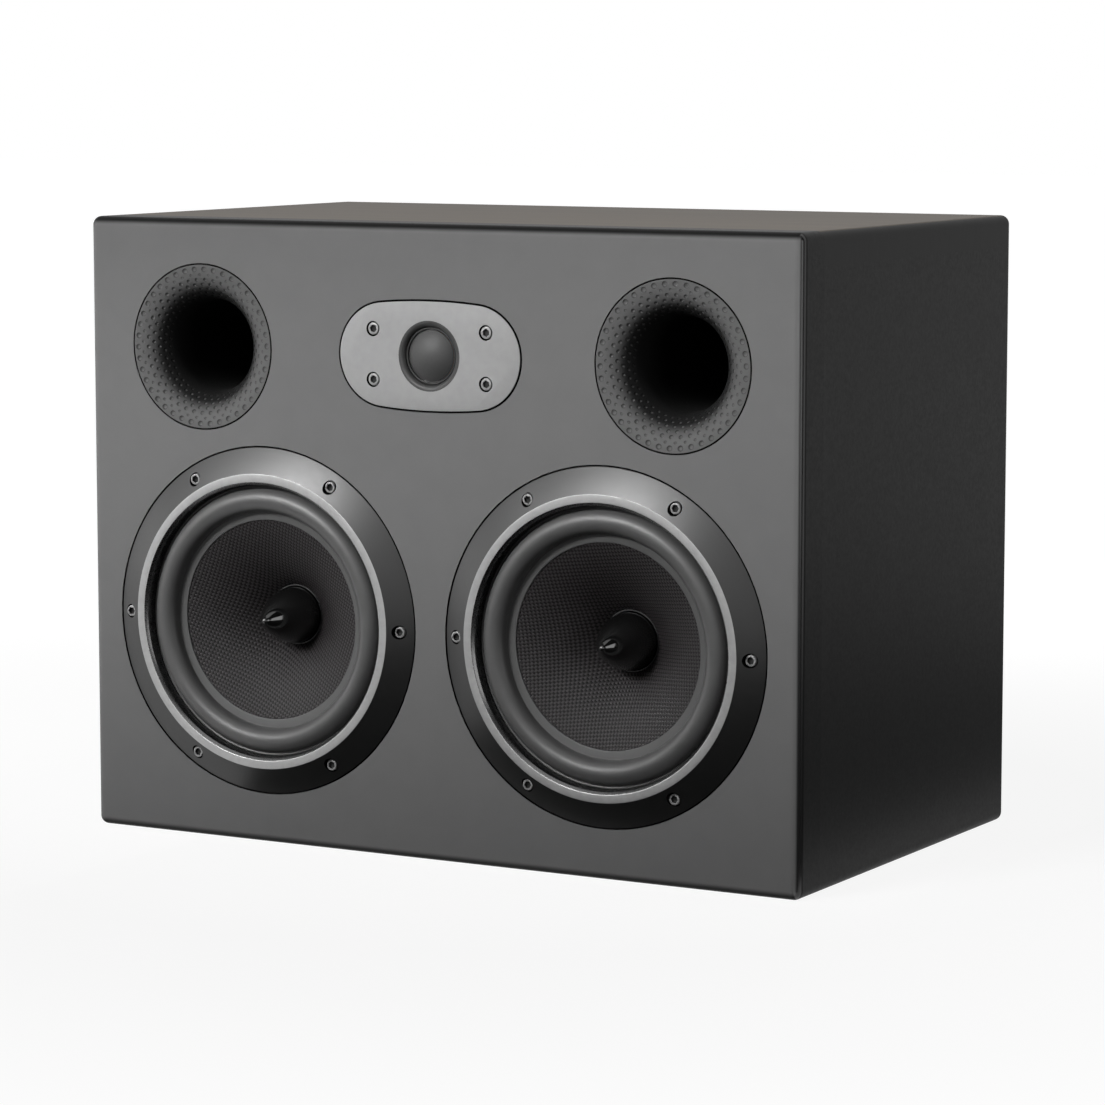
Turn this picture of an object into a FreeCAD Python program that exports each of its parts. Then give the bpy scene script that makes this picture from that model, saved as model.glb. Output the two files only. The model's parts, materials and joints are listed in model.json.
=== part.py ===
import FreeCAD, Part
import math
import os
from types import SimpleNamespace

import Sketcher

# Driving dimensions in millimetres. A depth runs from the front of the baffle into the cabinet.
DIMENSIONS = {
    # Layout of the front, as gaps and margins round the drivers and ports
    "side_margin": 19.5,
    "woofer_gap": 19.8,
    "bottom_margin": 28.4,
    "row_gap": 8.1,
    "top_margin": 25.3,
    "port_side_margin": 29.7,
    # Cabinet
    "front_chamber": 125.0,
    "rear_chamber": 87.0,
    "panel_thickness": 18.0,
    "baffle_thickness": 25.0,
    "edge_radius": 5.0,
    "brace_thickness": 15.0,
    "brace_bar": 26.0,
    "brace_corner": 12.0,
    "damping_thickness": 20.0,
    "damping_margin": 6.0,
    # Clearances
    "recess_gap": 0.5,
    "hole_gap": 1.5,
    "glue_gap": 0.1,
    "screw_gap": 0.2,
    "thread_gap": 0.25,
    # Bass driver, trim ring
    "ring_radius": 97.8,
    "ring_rise": 6.2,
    "ring_slope_width": 14.8,
    "ring_flat_width": 4.6,
    "ring_wall_lean": 1.8,
    "ring_edge": 3.0,
    # Bass driver, basket
    "flange_thickness": 4.0,
    "basket_lip": 3.0,
    "skirt_wall": 5.0,
    "basket_plate": 3.0,
    "basket_bore_gap": 3.4,
    "shelf_height": 7.0,
    "shelf_width": 7.0,
    "window_top_gap": 7.0,
    "window_bottom_gap": 4.0,
    # Bass driver, diaphragm
    "surround_thickness": 1.0,
    "landing_width": 4.8,
    "roll_gap": 1.8,
    "roll_radius": 6.8,
    "lip_drop": 1.4,
    "lip_width": 4.9,
    "cone_thickness": 1.0,
    "cone_depth": 27.0,
    "cone_curve_radius": 95.0,
    "former_radius": 16.5,
    "former_thickness": 0.5,
    "former_stand": 1.0,
    "winding_thickness": 0.6,
    "winding_length": 11.0,
    "spider_radius": 44.5,
    "spider_drop": 11.0,
    "spider_thickness": 0.6,
    "spider_wave": 2.0,
    "spider_landing": 6.0,
    # Bass driver, motor and plug
    "coil_gap": 0.6,
    "pole_gap": 0.5,
    "top_plate_radius": 42.0,
    "top_plate_thickness": 6.0,
    "magnet_radius": 45.0,
    "magnet_bore_radius": 24.0,
    "magnet_thickness": 17.0,
    "yoke_radius": 43.0,
    "yoke_thickness": 6.0,
    "plug_gap": 0.3,
    "plug_tip_rise": 2.3,
    "plug_nose_width": 5.6,
    "plug_nose_height": 3.7,
    "plug_curve_radius": 70.0,
    "plug_shoulder_rise": 6.4,
    # Screws of the bass driver
    "woofer_screw_inset": 8.2,
    "woofer_head_radius": 3.1,
    "woofer_head_height": 3.4,
    "woofer_head_sink": 0.5,
    "woofer_recess_gap": 0.6,
    "woofer_shank_radius": 2.0,
    # Screws of the treble driver
    "tweeter_screw_x": 35.7,
    "tweeter_screw_z": 13.9,
    "tweeter_head_radius": 3.35,
    "tweeter_head_height": 2.4,
    "tweeter_head_sink": 0.3,
    "tweeter_recess_gap": 0.6,
    "tweeter_shank_radius": 1.75,
    # All screws
    "screw_bite": 12.0,
    "screw_socket_radius": 1.7,
    "screw_socket_depth": 1.8,
    # Treble driver, faceplate
    "plate_length": 115.2,
    "plate_height": 60.7,
    "plate_end_drop": 1.35,
    "plate_thickness": 4.0,
    "plate_proud": 0.5,
    "well_radius": 19.8,
    "well_foot_radius": 15.8,
    "well_depth": 2.4,
    "well_lip": 0.4,
    "seat_radius": 20.5,
    # Treble driver, dome and motor
    "dome_radius": 14.1,
    "dome_rise": 4.5,
    "dome_thickness": 0.4,
    "dome_lap": 0.3,
    "tweeter_surround_thickness": 0.4,
    "tweeter_former_radius": 13.1,
    "tweeter_former_thickness": 0.4,
    "tweeter_former_length": 8.0,
    "tweeter_coil_gap": 0.5,
    "tweeter_plate_radius": 27.0,
    "tweeter_plate_thickness": 3.0,
    "tweeter_collar_width": 3.0,
    "tweeter_magnet_bore_radius": 17.0,
    "tweeter_magnet_thickness": 7.0,
    "tweeter_yoke_radius": 26.0,
    "tweeter_yoke_thickness": 4.0,
    # Ports
    "port_flange_radius": 46.3,
    "port_rim": 1.0,
    "port_throat_radius": 25.5,
    "port_flange_thickness": 4.0,
    "port_wall": 3.0,
    "port_end_gap": 30.0,
    "dimple_inset": 3.0,
    "dimple_radius": 1.45,
    "dimple_depth": 0.55,
    "dimple_row_pitch": 4.2,
    # Terminals
    "tray_height": 150.0,
    "tray_width": 110.0,
    "tray_tall": 84.0,
    "tray_corner": 16.0,
    "tray_flange": 9.0,
    "tray_flange_thickness": 3.0,
    "tray_depth": 28.0,
    "tray_wall": 3.0,
    "tray_screw_inset": 4.5,
    "tray_head_radius": 2.6,
    "tray_head_height": 1.6,
    "tray_shank_radius": 1.4,
    "tray_screw_bite": 9.0,
    "post_spacing": 19.05,
    "collar_radius": 6.5,
    "collar_height": 3.0,
    "stud_radius": 3.0,
    "stud_inner_length": 8.0,
    "stud_end_gap": 7.0,
    "socket_radius": 2.05,
    "socket_depth": 16.0,
    "washer_radius": 6.0,
    "washer_thickness": 1.0,
    "knob_radius": 7.0,
    "knob_end_gap": 5.0,
    "knob_chamfer": 0.8,
    "flute_radius": 1.1,
    "nut_radius": 5.2,
    "nut_thickness": 3.0,
    # Crossover
    "board_margin": 8.0,
    "board_overhang": 12.0,
    "board_thickness": 2.0,
    "spacer_height": 8.0,
    "spacer_radius": 4.0,
    "spacer_inset": 6.0,
    "inductor_radius": 17.0,
    "inductor_bore_radius": 7.0,
    "inductor_height": 16.0,
    "inductor_outer_x": 70.0,
    "inductor_inner_x": 35.0,
    "capacitor_radius": 6.0,
    "capacitor_length": 40.0,
    "capacitor_outer_x": 96.0,
    "capacitor_inner_x": 33.0,
    "resistor_side": 10.0,
    "resistor_length": 48.0,
    "resistor_x": 47.0,
    # Internal wiring
    "cable_radius": 2.5,
    "cable_bend": 12.0,
    "cable_lift": 9.0,
    "cable_clearance": 3.0,
    "treble_cable_x": 20.0,
    "input_wire_radius": 2.0,
}

WOOFER_SCREWS = 6
BASKET_WINDOWS = 6
WINDOW_ANGLE = 38.0
SPIDER_FOLDS = 6
DIMPLES_PER_ROW = 42
DIMPLE_ROWS = 4
KNOB_FLUTES = 12
HEXAGON = 6

# A sketch's own numbers for its axes, for its origin and for the points of a line, arc or circle
HORIZONTAL_AXIS, VERTICAL_AXIS = range(-1, -3, -1)
ORIGIN = HORIZONTAL_AXIS
START, END, CENTRE = range(1, 4)
# Which way an arc turns
LEFT, RIGHT = "left", "right"


class Size:
    """A length that carries its number and the sheet formula that it comes from."""

    def __init__(self, value, formula):
        self.value = value
        self.formula = formula

    def __add__(self, other):
        other = size(other)
        return Size(self.value + other.value, f"({self.formula} + {other.formula})")

    def __sub__(self, other):
        other = size(other)
        return Size(self.value - other.value, f"({self.formula} - {other.formula})")

    def __mul__(self, other):
        other = size(other)
        return Size(self.value * other.value, f"({self.formula} * {other.formula})")

    def __truediv__(self, other):
        other = size(other)
        return Size(self.value / other.value, f"({self.formula} / {other.formula})")

    def __neg__(self):
        return Size(-self.value, f"(0 - {self.formula})")

    def root(self):
        return Size(math.sqrt(self.value), f"sqrt({self.formula})")


def size(number):
    """Give a plain number the form of a Size."""
    return number if isinstance(number, Size) else Size(float(number), repr(number))


doc = FreeCAD.newDocument("lcr_speaker")
sheet = doc.addObject("Spreadsheet::Sheet", "Dims")
for row, (alias, number) in enumerate(DIMENSIONS.items(), 1):
    sheet.set(f"A{row}", alias)
    sheet.set(f"B{row}", str(number))
    sheet.setAlias(f"B{row}", alias)
doc.recompute()
dim = SimpleNamespace(**{name: Size(value, f"Dims.{name}") for name, value in DIMENSIONS.items()})

# Sizes that follow from the driving dimensions: the cabinet
half_width = dim.woofer_gap / 2 + dim.ring_radius * 2 + dim.side_margin
cabinet_height = (dim.bottom_margin + dim.ring_radius * 2 + dim.row_gap
                  + dim.port_flange_radius * 2 + dim.top_margin)
brace_front = dim.baffle_thickness + dim.front_chamber
brace_back = brace_front + dim.brace_thickness
rear_inside = brace_back + dim.rear_chamber
cabinet_depth = rear_inside + dim.panel_thickness
front_y = -(cabinet_depth / 2)
woofer_x = dim.woofer_gap / 2 + dim.ring_radius
woofer_z = dim.bottom_margin + dim.ring_radius
port_x = half_width - dim.port_side_margin - dim.port_flange_radius
upper_z = cabinet_height - dim.top_margin - dim.port_flange_radius

# Bass driver, radii from the outside in
flat_outer = dim.ring_radius - dim.ring_slope_width
flat_inner = flat_outer - dim.ring_flat_width
ring_foot = flat_inner - dim.ring_wall_lean
roll_outer = ring_foot - dim.roll_gap
roll_centre = roll_outer - dim.roll_radius
roll_inner = roll_centre - dim.roll_radius
lip_inner = roll_inner - dim.lip_width
landing_outer = roll_outer + dim.landing_width
former_outer = dim.former_radius + dim.former_thickness
winding_outer = former_outer + dim.winding_thickness
gap_radius = winding_outer + dim.coil_gap
pole_radius = dim.former_radius - dim.pole_gap
plug_radius = pole_radius - dim.plug_gap
shelf_outer = dim.spider_radius + dim.hole_gap
woofer_screw_circle = dim.ring_radius - dim.woofer_screw_inset

# Bass driver, depths from the front to the back
flange_back = dim.ring_edge + dim.flange_thickness
lip_front = dim.ring_edge + dim.lip_drop
cone_front = lip_front + dim.surround_thickness
neck_front = cone_front + dim.cone_depth
spider_front = neck_front + dim.spider_drop
shelf_front = spider_front + dim.spider_thickness
pole_front = shelf_front + dim.shelf_height
top_plate_front = pole_front + dim.basket_plate
magnet_front = top_plate_front + dim.top_plate_thickness
yoke_front = magnet_front + dim.magnet_thickness
slope_at_screw = -(dim.ring_rise * dim.woofer_screw_inset / dim.ring_slope_width)
woofer_head_top = slope_at_screw + dim.woofer_head_sink
woofer_head_seat = woofer_head_top + dim.woofer_head_height
woofer_screw_end = flange_back + dim.screw_bite

# Treble driver
plate_front = -dim.plate_proud
plate_back = plate_front + dim.plate_thickness
surround_front = plate_front + dim.well_depth + dim.well_lip
surround_back = surround_front + dim.tweeter_surround_thickness
dome_edge = dim.dome_radius + dim.dome_lap
tweeter_former_outer = dim.tweeter_former_radius + dim.tweeter_former_thickness
tweeter_gap_radius = tweeter_former_outer + dim.tweeter_coil_gap
tweeter_pole_radius = dim.tweeter_former_radius - dim.tweeter_coil_gap
tweeter_magnet_front = plate_back + dim.tweeter_plate_thickness
tweeter_yoke_front = tweeter_magnet_front + dim.tweeter_magnet_thickness
tweeter_back = tweeter_yoke_front + dim.tweeter_yoke_thickness
tweeter_head_top = plate_front + dim.tweeter_head_sink
tweeter_head_seat = tweeter_head_top + dim.tweeter_head_height
tweeter_screw_end = plate_back + dim.screw_bite

# Ports
flare_start = dim.port_flange_radius - dim.port_rim
flare_radius = flare_start - dim.port_throat_radius
flare_back_radius = flare_radius - dim.port_wall
tube_outer = dim.port_throat_radius + dim.port_wall
port_end = brace_front - dim.port_end_gap
flare_drop = flare_radius - dim.port_flange_thickness
flare_neck = flare_start - (flare_back_radius * flare_back_radius - flare_drop * flare_drop).root()

# Terminals, depths from the front of the baffle
tray_floor = cabinet_depth - dim.tray_depth
tray_inside = tray_floor - dim.tray_wall
collar_top = tray_floor + dim.collar_height
knob_base = collar_top + dim.washer_thickness
stud_inner_end = tray_inside - dim.stud_inner_length
stud_end = cabinet_depth - dim.stud_end_gap
knob_end = cabinet_depth - dim.knob_end_gap
thread_bore = dim.stud_radius + dim.thread_gap

# Crossover
board_bottom = dim.panel_thickness + dim.spacer_height
board_top = board_bottom + dim.board_thickness
board_middle = brace_back + dim.rear_chamber / 2
board_half_width = woofer_x + dim.board_overhang
board_half_depth = dim.rear_chamber / 2 - dim.board_margin

pieces = []


def place(piece, x, depth, z):
    """Set a piece's own origin at x and z and at a depth behind the baffle's front."""
    y = front_y + depth
    piece.Placement.Base = FreeCAD.Vector(x.value, y.value, z.value)
    for axis, length in zip("xyz", (x, y, z)):
        piece.setExpression(f"Placement.Base.{axis}", length.formula)


def new_body(label, x=size(0), depth=size(0), z=size(0)):
    """Start a body at its place in the cabinet."""
    body = doc.addObject("PartDesign::Body", label)
    body.Label = label
    place(body, x, depth, z)
    return body


def new_sketch(body, role, offset=None):
    """Start a sketch on one of the body's own planes, or on a plane set off from it."""
    sketch = body.newObject("Sketcher::SketchObject", "Sketch")
    plane = [feature for feature in body.Origin.OriginFeatures if feature.Role == role][0]
    sketch.AttachmentSupport = [(plane, "")]
    sketch.MapMode = "FlatFace"
    if offset is not None:
        sketch.AttachmentOffset = FreeCAD.Placement(FreeCAD.Vector(0, 0, offset.value), FreeCAD.Rotation())
        sketch.setExpression("AttachmentOffset.Base.z", offset.formula)
    return sketch


def bind(sketch, constraint, length):
    """Add a dimension to a sketch and tie it to the sheet."""
    index = sketch.addConstraint(constraint)
    sketch.setExpression(f"Constraints[{index}]", length.formula)


def pin(sketch, shape, end, x, y):
    """Fix one point of a sketch at x, y."""
    for kind, axis, length in (("DistanceX", VERTICAL_AXIS, x), ("DistanceY", HORIZONTAL_AXIS, y)):
        if length.value == 0:
            sketch.addConstraint(Sketcher.Constraint("PointOnObject", shape, end, axis))
        else:
            bind(sketch, Sketcher.Constraint(kind, ORIGIN, START, shape, end, length.value), length)


def arc_between(start, end, radius, turn):
    """Make the short arc from start to end that turns left or right."""
    chord = end - start
    middle = (start + end) * 0.5
    rise = math.sqrt(max(radius ** 2 - (chord.Length / 2) ** 2, 0.0))
    across = FreeCAD.Vector(-chord.y, chord.x, 0).normalize()
    centre = middle + across * (rise if turn == LEFT else -rise)
    first, last = (start, end) if turn == LEFT else (end, start)
    angles = [math.atan2(point.y - centre.y, point.x - centre.x) for point in (first, last)]
    circle = Part.Circle(centre, FreeCAD.Vector(0, 0, 1), radius)
    return Part.ArcOfCircle(circle, *angles)


def draw_outline(sketch, corners):
    """Draw a closed outline; a corner with a radius and a turn starts an arc, else a line."""
    corners = [tuple(size(item) for item in corner[:3]) + tuple(corner[3:]) for corner in corners]
    points = [FreeCAD.Vector(corner[0].value, corner[1].value, 0) for corner in corners]
    sides = []
    for index, corner in enumerate(corners):
        start, end = points[index], points[(index + 1) % len(points)]
        if len(corner) == 2:
            sides.append((sketch.addGeometry(Part.LineSegment(start, end)), START, END))
            continue
        radius, turn = corner[2:]
        shape = sketch.addGeometry(arc_between(start, end, radius.value, turn))
        bind(sketch, Sketcher.Constraint("Radius", shape, radius.value), radius)
        sides.append((shape, START, END) if turn == LEFT else (shape, END, START))
    for index, (shape, start, _) in enumerate(sides):
        previous, _, previous_end = sides[index - 1]
        sketch.addConstraint(Sketcher.Constraint("Coincident", previous, previous_end, shape, start))
        pin(sketch, shape, start, corners[index][0], corners[index][1])


def draw_circles(sketch, centres, radius):
    """Draw equal circles."""
    for x, y in centres:
        x, y = size(x), size(y)
        circle = Part.Circle(FreeCAD.Vector(x.value, y.value, 0), FreeCAD.Vector(0, 0, 1), radius.value)
        shape = sketch.addGeometry(circle)
        bind(sketch, Sketcher.Constraint("Radius", shape, radius.value), radius)
        pin(sketch, shape, CENTRE, x, y)


def rectangle(left, right, low, high):
    """Corners of a plain rectangle."""
    return [(left, low), (right, low), (right, high), (left, high)]


def rounded_rectangle(left, right, low, high, radius):
    """Corners of a rectangle with rounded corners."""
    return [
        (left + radius, low), (right - radius, low, radius, LEFT),
        (right, low + radius), (right, high - radius, radius, LEFT),
        (right - radius, high), (left + radius, high, radius, LEFT),
        (left, high - radius), (left, low + radius, radius, LEFT),
    ]


def on_circle(radius, count):
    """Points spread evenly on a circle."""
    turns = [math.radians(360 / count * index) for index in range(count)]
    return [(radius * round(math.cos(turn), 9), radius * round(math.sin(turn), 9)) for turn in turns]


def pad(body, sketch, length):
    """Give a front outline its depth, towards the rear."""
    feature = body.newObject("PartDesign::Pad", "Pad")
    feature.Profile = sketch
    feature.Reversed = True
    feature.setExpression("Length", length.formula)
    return feature


def pocket(body, sketch, length, forward=False):
    """Cut an outline towards the rear, or forward, and make sure that it cuts."""
    doc.recompute()
    before = body.Shape.Volume
    feature = body.newObject("PartDesign::Pocket", "Pocket")
    feature.Profile = sketch
    feature.Reversed = forward
    feature.setExpression("Length", length.formula)
    doc.recompute()
    if not body.Shape.Volume < before:
        raise RuntimeError(f"{body.Label}: a pocket cut nothing")
    return feature


def drill(body, centres, radius, length):
    """Cut round holes from the front of the body's own frame."""
    sketch = new_sketch(body, "XZ_Plane")
    draw_circles(sketch, centres, radius)
    return pocket(body, sketch, length)


def turned(label, corners, x=size(0), depth=size(0), z=size(0)):
    """Turn a profile of radius and depth about the piece's own axis."""
    body = new_body(label, x, depth, z)
    sketch = new_sketch(body, "XY_Plane")
    draw_outline(sketch, corners)
    feature = body.newObject("PartDesign::Revolution", "Revolution")
    feature.Profile = sketch
    feature.ReferenceAxis = (sketch, ["V_Axis"])
    feature.Angle = 360
    return body


def turned_ring(label, inner, outer, front, back, x=size(0), depth=size(0), z=size(0)):
    """A plain ring about the piece's own axis."""
    return turned(label, rectangle(inner, outer, front, back), x, depth, z)


def repeat_round(body, feature, count):
    """Repeat a cut round the body's own axis."""
    pattern = body.newObject("PartDesign::PolarPattern", "Pattern")
    pattern.Originals = [feature]
    axis = [item for item in body.Origin.OriginFeatures if item.Role == "Y_Axis"][0]
    pattern.Axis = (axis, [""])
    pattern.Angle = 360
    pattern.Occurrences = count
    body.Tip = pattern


def keep(piece):
    """List a finished sub-part."""
    pieces.append(piece)
    return piece


def keep_group(label, shapes):
    """List like pieces as one sub-part of separate solids."""
    group = doc.addObject("Part::Feature", label)
    group.Label = label
    group.Shape = Part.makeCompound(shapes)
    group.Placement = FreeCAD.Placement()
    pieces.append(group)


def copies_at(body, places):
    """Copies of a body's shape, each moved from the body's own origin to a place."""
    doc.recompute()
    shapes = []
    for x, depth, z in places:
        shape = body.Shape.copy()
        shape.translate(FreeCAD.Vector(x.value, (front_y + depth).value, z.value) - body.Placement.Base)
        shapes.append(shape)
    return shapes


def round_outer_edges(body, feature, planes):
    """Round each edge that lies in two of the cabinet's outer planes."""
    doc.recompute()

    def in_plane(box, axis, level):
        low, high = getattr(box, axis + "Min"), getattr(box, axis + "Max")
        return abs(low - level.value) < 1e-6 and abs(high - level.value) < 1e-6

    names = []
    for index, edge in enumerate(feature.Shape.Edges, 1):
        if sum(in_plane(edge.BoundBox, axis, level) for axis, level in planes) >= 2:
            names.append(f"Edge{index}")
    fillet = body.newObject("PartDesign::Fillet", "Fillet")
    fillet.Base = (feature, names)
    fillet.setExpression("Radius", dim.edge_radius.formula)


def plate_outline(grow):
    """Oblong of the treble faceplate: round ends joined by slightly bowed long sides."""
    half = dim.plate_length / 2 + grow
    height = dim.plate_height / 2 + grow
    end_radius = height - dim.plate_end_drop
    reach = half - end_radius
    bow = (reach * reach + height * height - end_radius * end_radius) / (dim.plate_end_drop * 2)
    meet_x = bow * reach / (bow - end_radius)
    meet_z = height - bow + bow * (bow - height) / (bow - end_radius)
    return [
        (meet_x, meet_z, bow, LEFT), (-meet_x, meet_z, end_radius, LEFT),
        (-half, 0, end_radius, LEFT), (-meet_x, -meet_z, bow, LEFT),
        (meet_x, -meet_z, end_radius, LEFT), (half, 0, end_radius, LEFT),
    ]


def moved(corners, x, z):
    """Shift an outline."""
    return [(size(corner[0]) + x, size(corner[1]) + z) + tuple(corner[2:]) for corner in corners]


tweeter_screw_places = [
    (dim.tweeter_screw_x * side, dim.tweeter_screw_z * level) for side in (-1, 1) for level in (-1, 1)
]


def front_baffle():
    """Thick front panel with a rebate and a hole for each driver and port."""
    body = new_body("front_baffle")
    sketch = new_sketch(body, "XZ_Plane")
    draw_outline(sketch, rectangle(-half_width, half_width, size(0), cabinet_height))
    block = pad(body, sketch, dim.baffle_thickness)
    planes = [("X", -half_width), ("X", half_width), ("Z", size(0)), ("Z", cabinet_height), ("Y", size(0))]
    round_outer_edges(body, block, planes)
    woofers = [(woofer_x * side, woofer_z) for side in (-1, 1)]
    ports = [(port_x * side, upper_z) for side in (-1, 1)]
    tweeter = [(size(0), upper_z)]
    through = dim.baffle_thickness + dim.hole_gap
    drill(body, woofers, dim.ring_radius + dim.recess_gap, flange_back)
    drill(body, woofers, flat_outer + dim.hole_gap, through)
    drill(body, ports, dim.port_flange_radius + dim.recess_gap, dim.port_flange_thickness)
    drill(body, ports, flare_neck + dim.hole_gap, through)
    recess = new_sketch(body, "XZ_Plane")
    draw_outline(recess, moved(plate_outline(dim.recess_gap), size(0), upper_z))
    pocket(body, recess, plate_back)
    drill(body, tweeter, dim.tweeter_plate_radius + dim.hole_gap, through)
    around = on_circle(woofer_screw_circle, WOOFER_SCREWS)
    pilots = [(x + middle, z + woofer_z) for middle, _ in woofers for x, z in around]
    drill(body, pilots, dim.woofer_shank_radius + dim.glue_gap, woofer_screw_end + dim.hole_gap)
    pilots = [(x, z + upper_z) for x, z in tweeter_screw_places]
    drill(body, pilots, dim.tweeter_shank_radius + dim.glue_gap, tweeter_screw_end + dim.hole_gap)
    keep(body)


def shell_panel(label, left, right, low, high, planes):
    """A panel of the shell from the baffle's back to the rear face."""
    length = cabinet_depth - dim.baffle_thickness
    body = new_body(label, depth=dim.baffle_thickness)
    sketch = new_sketch(body, "XZ_Plane")
    draw_outline(sketch, rectangle(left, right, low, high))
    block = pad(body, sketch, length)
    round_outer_edges(body, block, planes + [("Y", length)])
    keep(body)


def cabinet_shell():
    """Top, bottom and side panels, glued to the back of the baffle."""
    under_top = cabinet_height - dim.panel_thickness
    inner = half_width - dim.panel_thickness
    ends = [("X", -half_width), ("X", half_width)]
    shell_panel("top_panel", -half_width, half_width, under_top, cabinet_height,
                ends + [("Z", cabinet_height)])
    shell_panel("bottom_panel", -half_width, half_width, size(0), dim.panel_thickness,
                ends + [("Z", size(0))])
    shell_panel("left_side_panel", -half_width, -inner, dim.panel_thickness, under_top, ends)
    shell_panel("right_side_panel", inner, half_width, dim.panel_thickness, under_top, ends)


def tray_half_sizes(grow):
    """Half width and half height of the terminal tray's flange, grown or shrunk."""
    return dim.tray_width / 2 + grow, dim.tray_tall / 2 + grow


def tray_outline(grow, z):
    """Rounded outline of the tray about the height z."""
    half, tall = tray_half_sizes(grow)
    return rounded_rectangle(-half, half, z - tall, z + tall, dim.tray_corner + grow)


def rear_panel():
    """Rear panel set between the shell panels, with the opening of the terminal tray."""
    inner = half_width - dim.panel_thickness
    body = new_body("rear_panel", depth=rear_inside)
    sketch = new_sketch(body, "XZ_Plane")
    draw_outline(sketch, rectangle(-inner, inner, dim.panel_thickness, cabinet_height - dim.panel_thickness))
    pad(body, sketch, dim.panel_thickness)
    opening = new_sketch(body, "XZ_Plane")
    draw_outline(opening, tray_outline(dim.recess_gap - dim.tray_flange, dim.tray_height))
    pocket(body, opening, dim.panel_thickness + dim.hole_gap)
    rebate = new_sketch(body, "XZ_Plane", -dim.panel_thickness)
    draw_outline(rebate, tray_outline(dim.recess_gap, dim.tray_height))
    pocket(body, rebate, dim.tray_flange_thickness, forward=True)
    pilots = new_sketch(body, "XZ_Plane", -dim.panel_thickness)
    draw_circles(pilots, [(x, z + dim.tray_height) for x, z in tray_screw_places()],
                 dim.tray_shank_radius + dim.glue_gap)
    pocket(body, pilots, dim.tray_flange_thickness + dim.tray_screw_bite + dim.hole_gap, forward=True)
    keep(body)


def window_brace():
    """Frame across the middle of the cabinet with four windows."""
    inner = half_width - dim.panel_thickness
    low, high = dim.panel_thickness, cabinet_height - dim.panel_thickness
    middle = (low + high) / 2
    body = new_body("window_brace", depth=brace_front)
    sketch = new_sketch(body, "XZ_Plane")
    draw_outline(sketch, rectangle(-inner, inner, low, high))
    pad(body, sketch, dim.brace_thickness)
    half_bar = dim.brace_bar / 2
    columns = [(dim.brace_bar - inner, -half_bar), (half_bar, inner - dim.brace_bar)]
    rows = [(low + dim.brace_bar, middle - half_bar), (middle + half_bar, high - dim.brace_bar)]
    windows = new_sketch(body, "XZ_Plane")
    for left, right in columns:
        for bottom, top in rows:
            draw_outline(windows, rounded_rectangle(left, right, bottom, top, dim.brace_corner))
    pocket(body, windows, dim.brace_thickness + dim.hole_gap)
    keep(body)


def damping_sheet(label, side):
    """Soft sheet on the inside of a side wall, behind the brace."""
    inner = half_width - dim.panel_thickness
    sheet_box = doc.addObject("Part::Box", label)
    sheet_box.Label = label
    sheet_box.setExpression("Length", dim.damping_thickness.formula)
    sheet_box.setExpression("Width", (dim.rear_chamber - dim.damping_margin * 2).formula)
    tall = cabinet_height - dim.panel_thickness * 2 - dim.damping_margin * 2
    sheet_box.setExpression("Height", tall.formula)
    x = -inner if side < 0 else inner - dim.damping_thickness
    place(sheet_box, x, brace_back + dim.damping_margin, dim.panel_thickness + dim.damping_margin)
    keep(sheet_box)


def dimples():
    """Shallow round dents in staggered rows down the flare, as the balls that cut them."""
    balls = []
    first = flare_start.value - dim.port_flange_radius.value + dim.dimple_inset.value
    first_angle = math.asin(first / flare_radius.value)
    first_radius = flare_start.value - first
    for row in range(DIMPLE_ROWS):
        angle = first_angle + row * dim.dimple_row_pitch.value / flare_radius.value
        radius = flare_start.value - flare_radius.value * math.sin(angle)
        scale = radius / first_radius
        mouth, deep = dim.dimple_radius.value * scale, dim.dimple_depth.value * scale
        ball = (mouth ** 2 + deep ** 2) / (2 * deep)
        reach = flare_radius.value - deep + ball
        out = flare_start.value - reach * math.sin(angle)
        depth = flare_radius.value - reach * math.cos(angle)
        for index in range(DIMPLES_PER_ROW):
            turn = 2 * math.pi * (index + 0.25 + row % 2 / 2) / DIMPLES_PER_ROW
            around = FreeCAD.Vector(math.cos(turn), 0, math.sin(turn))
            inward = around * math.sin(angle) + FreeCAD.Vector(0, math.cos(angle), 0)
            cutter = Part.makeSphere(ball)
            cutter.Placement = FreeCAD.Placement(
                around * out + FreeCAD.Vector(0, depth, 0),
                FreeCAD.Rotation(FreeCAD.Vector(-1, 0, 0), inward))
            balls.append(cutter)
    return balls


def ports():
    """Two equal port mouldings: flange, flare with dents, and tube."""
    smooth = turned("smooth_port", [
        (dim.port_flange_radius, size(0)), (flare_start, size(0), flare_radius, RIGHT),
        (dim.port_throat_radius, flare_radius), (dim.port_throat_radius, port_end),
        (tube_outer, port_end), (tube_outer, flare_radius, flare_back_radius, LEFT),
        (flare_neck, dim.port_flange_thickness), (dim.port_flange_radius, dim.port_flange_thickness),
    ])
    doc.recompute()
    local = smooth.Shape.copy()
    local.translate(-smooth.Placement.Base)
    dented = local.cut(Part.makeCompound(dimples()))
    for label, side in (("left_port", -1), ("right_port", 1)):
        port = doc.addObject("Part::Feature", label)
        port.Label = label
        port.Shape = dented
        place(port, port_x * side, size(0), upper_z)
        keep(port)


def socket_screw(label, head_radius, head_height, shank_radius, length):
    """Socket-head screw with its head's top at its own origin, pointing to the rear."""
    body = turned(label, [
        (size(0), size(0)), (head_radius, size(0)), (head_radius, head_height),
        (shank_radius, head_height), (shank_radius, length), (size(0), length),
    ])
    socket = new_sketch(body, "XZ_Plane")
    draw_outline(socket, on_circle(dim.screw_socket_radius, HEXAGON))
    pocket(body, socket, dim.screw_socket_depth)
    return body


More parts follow.
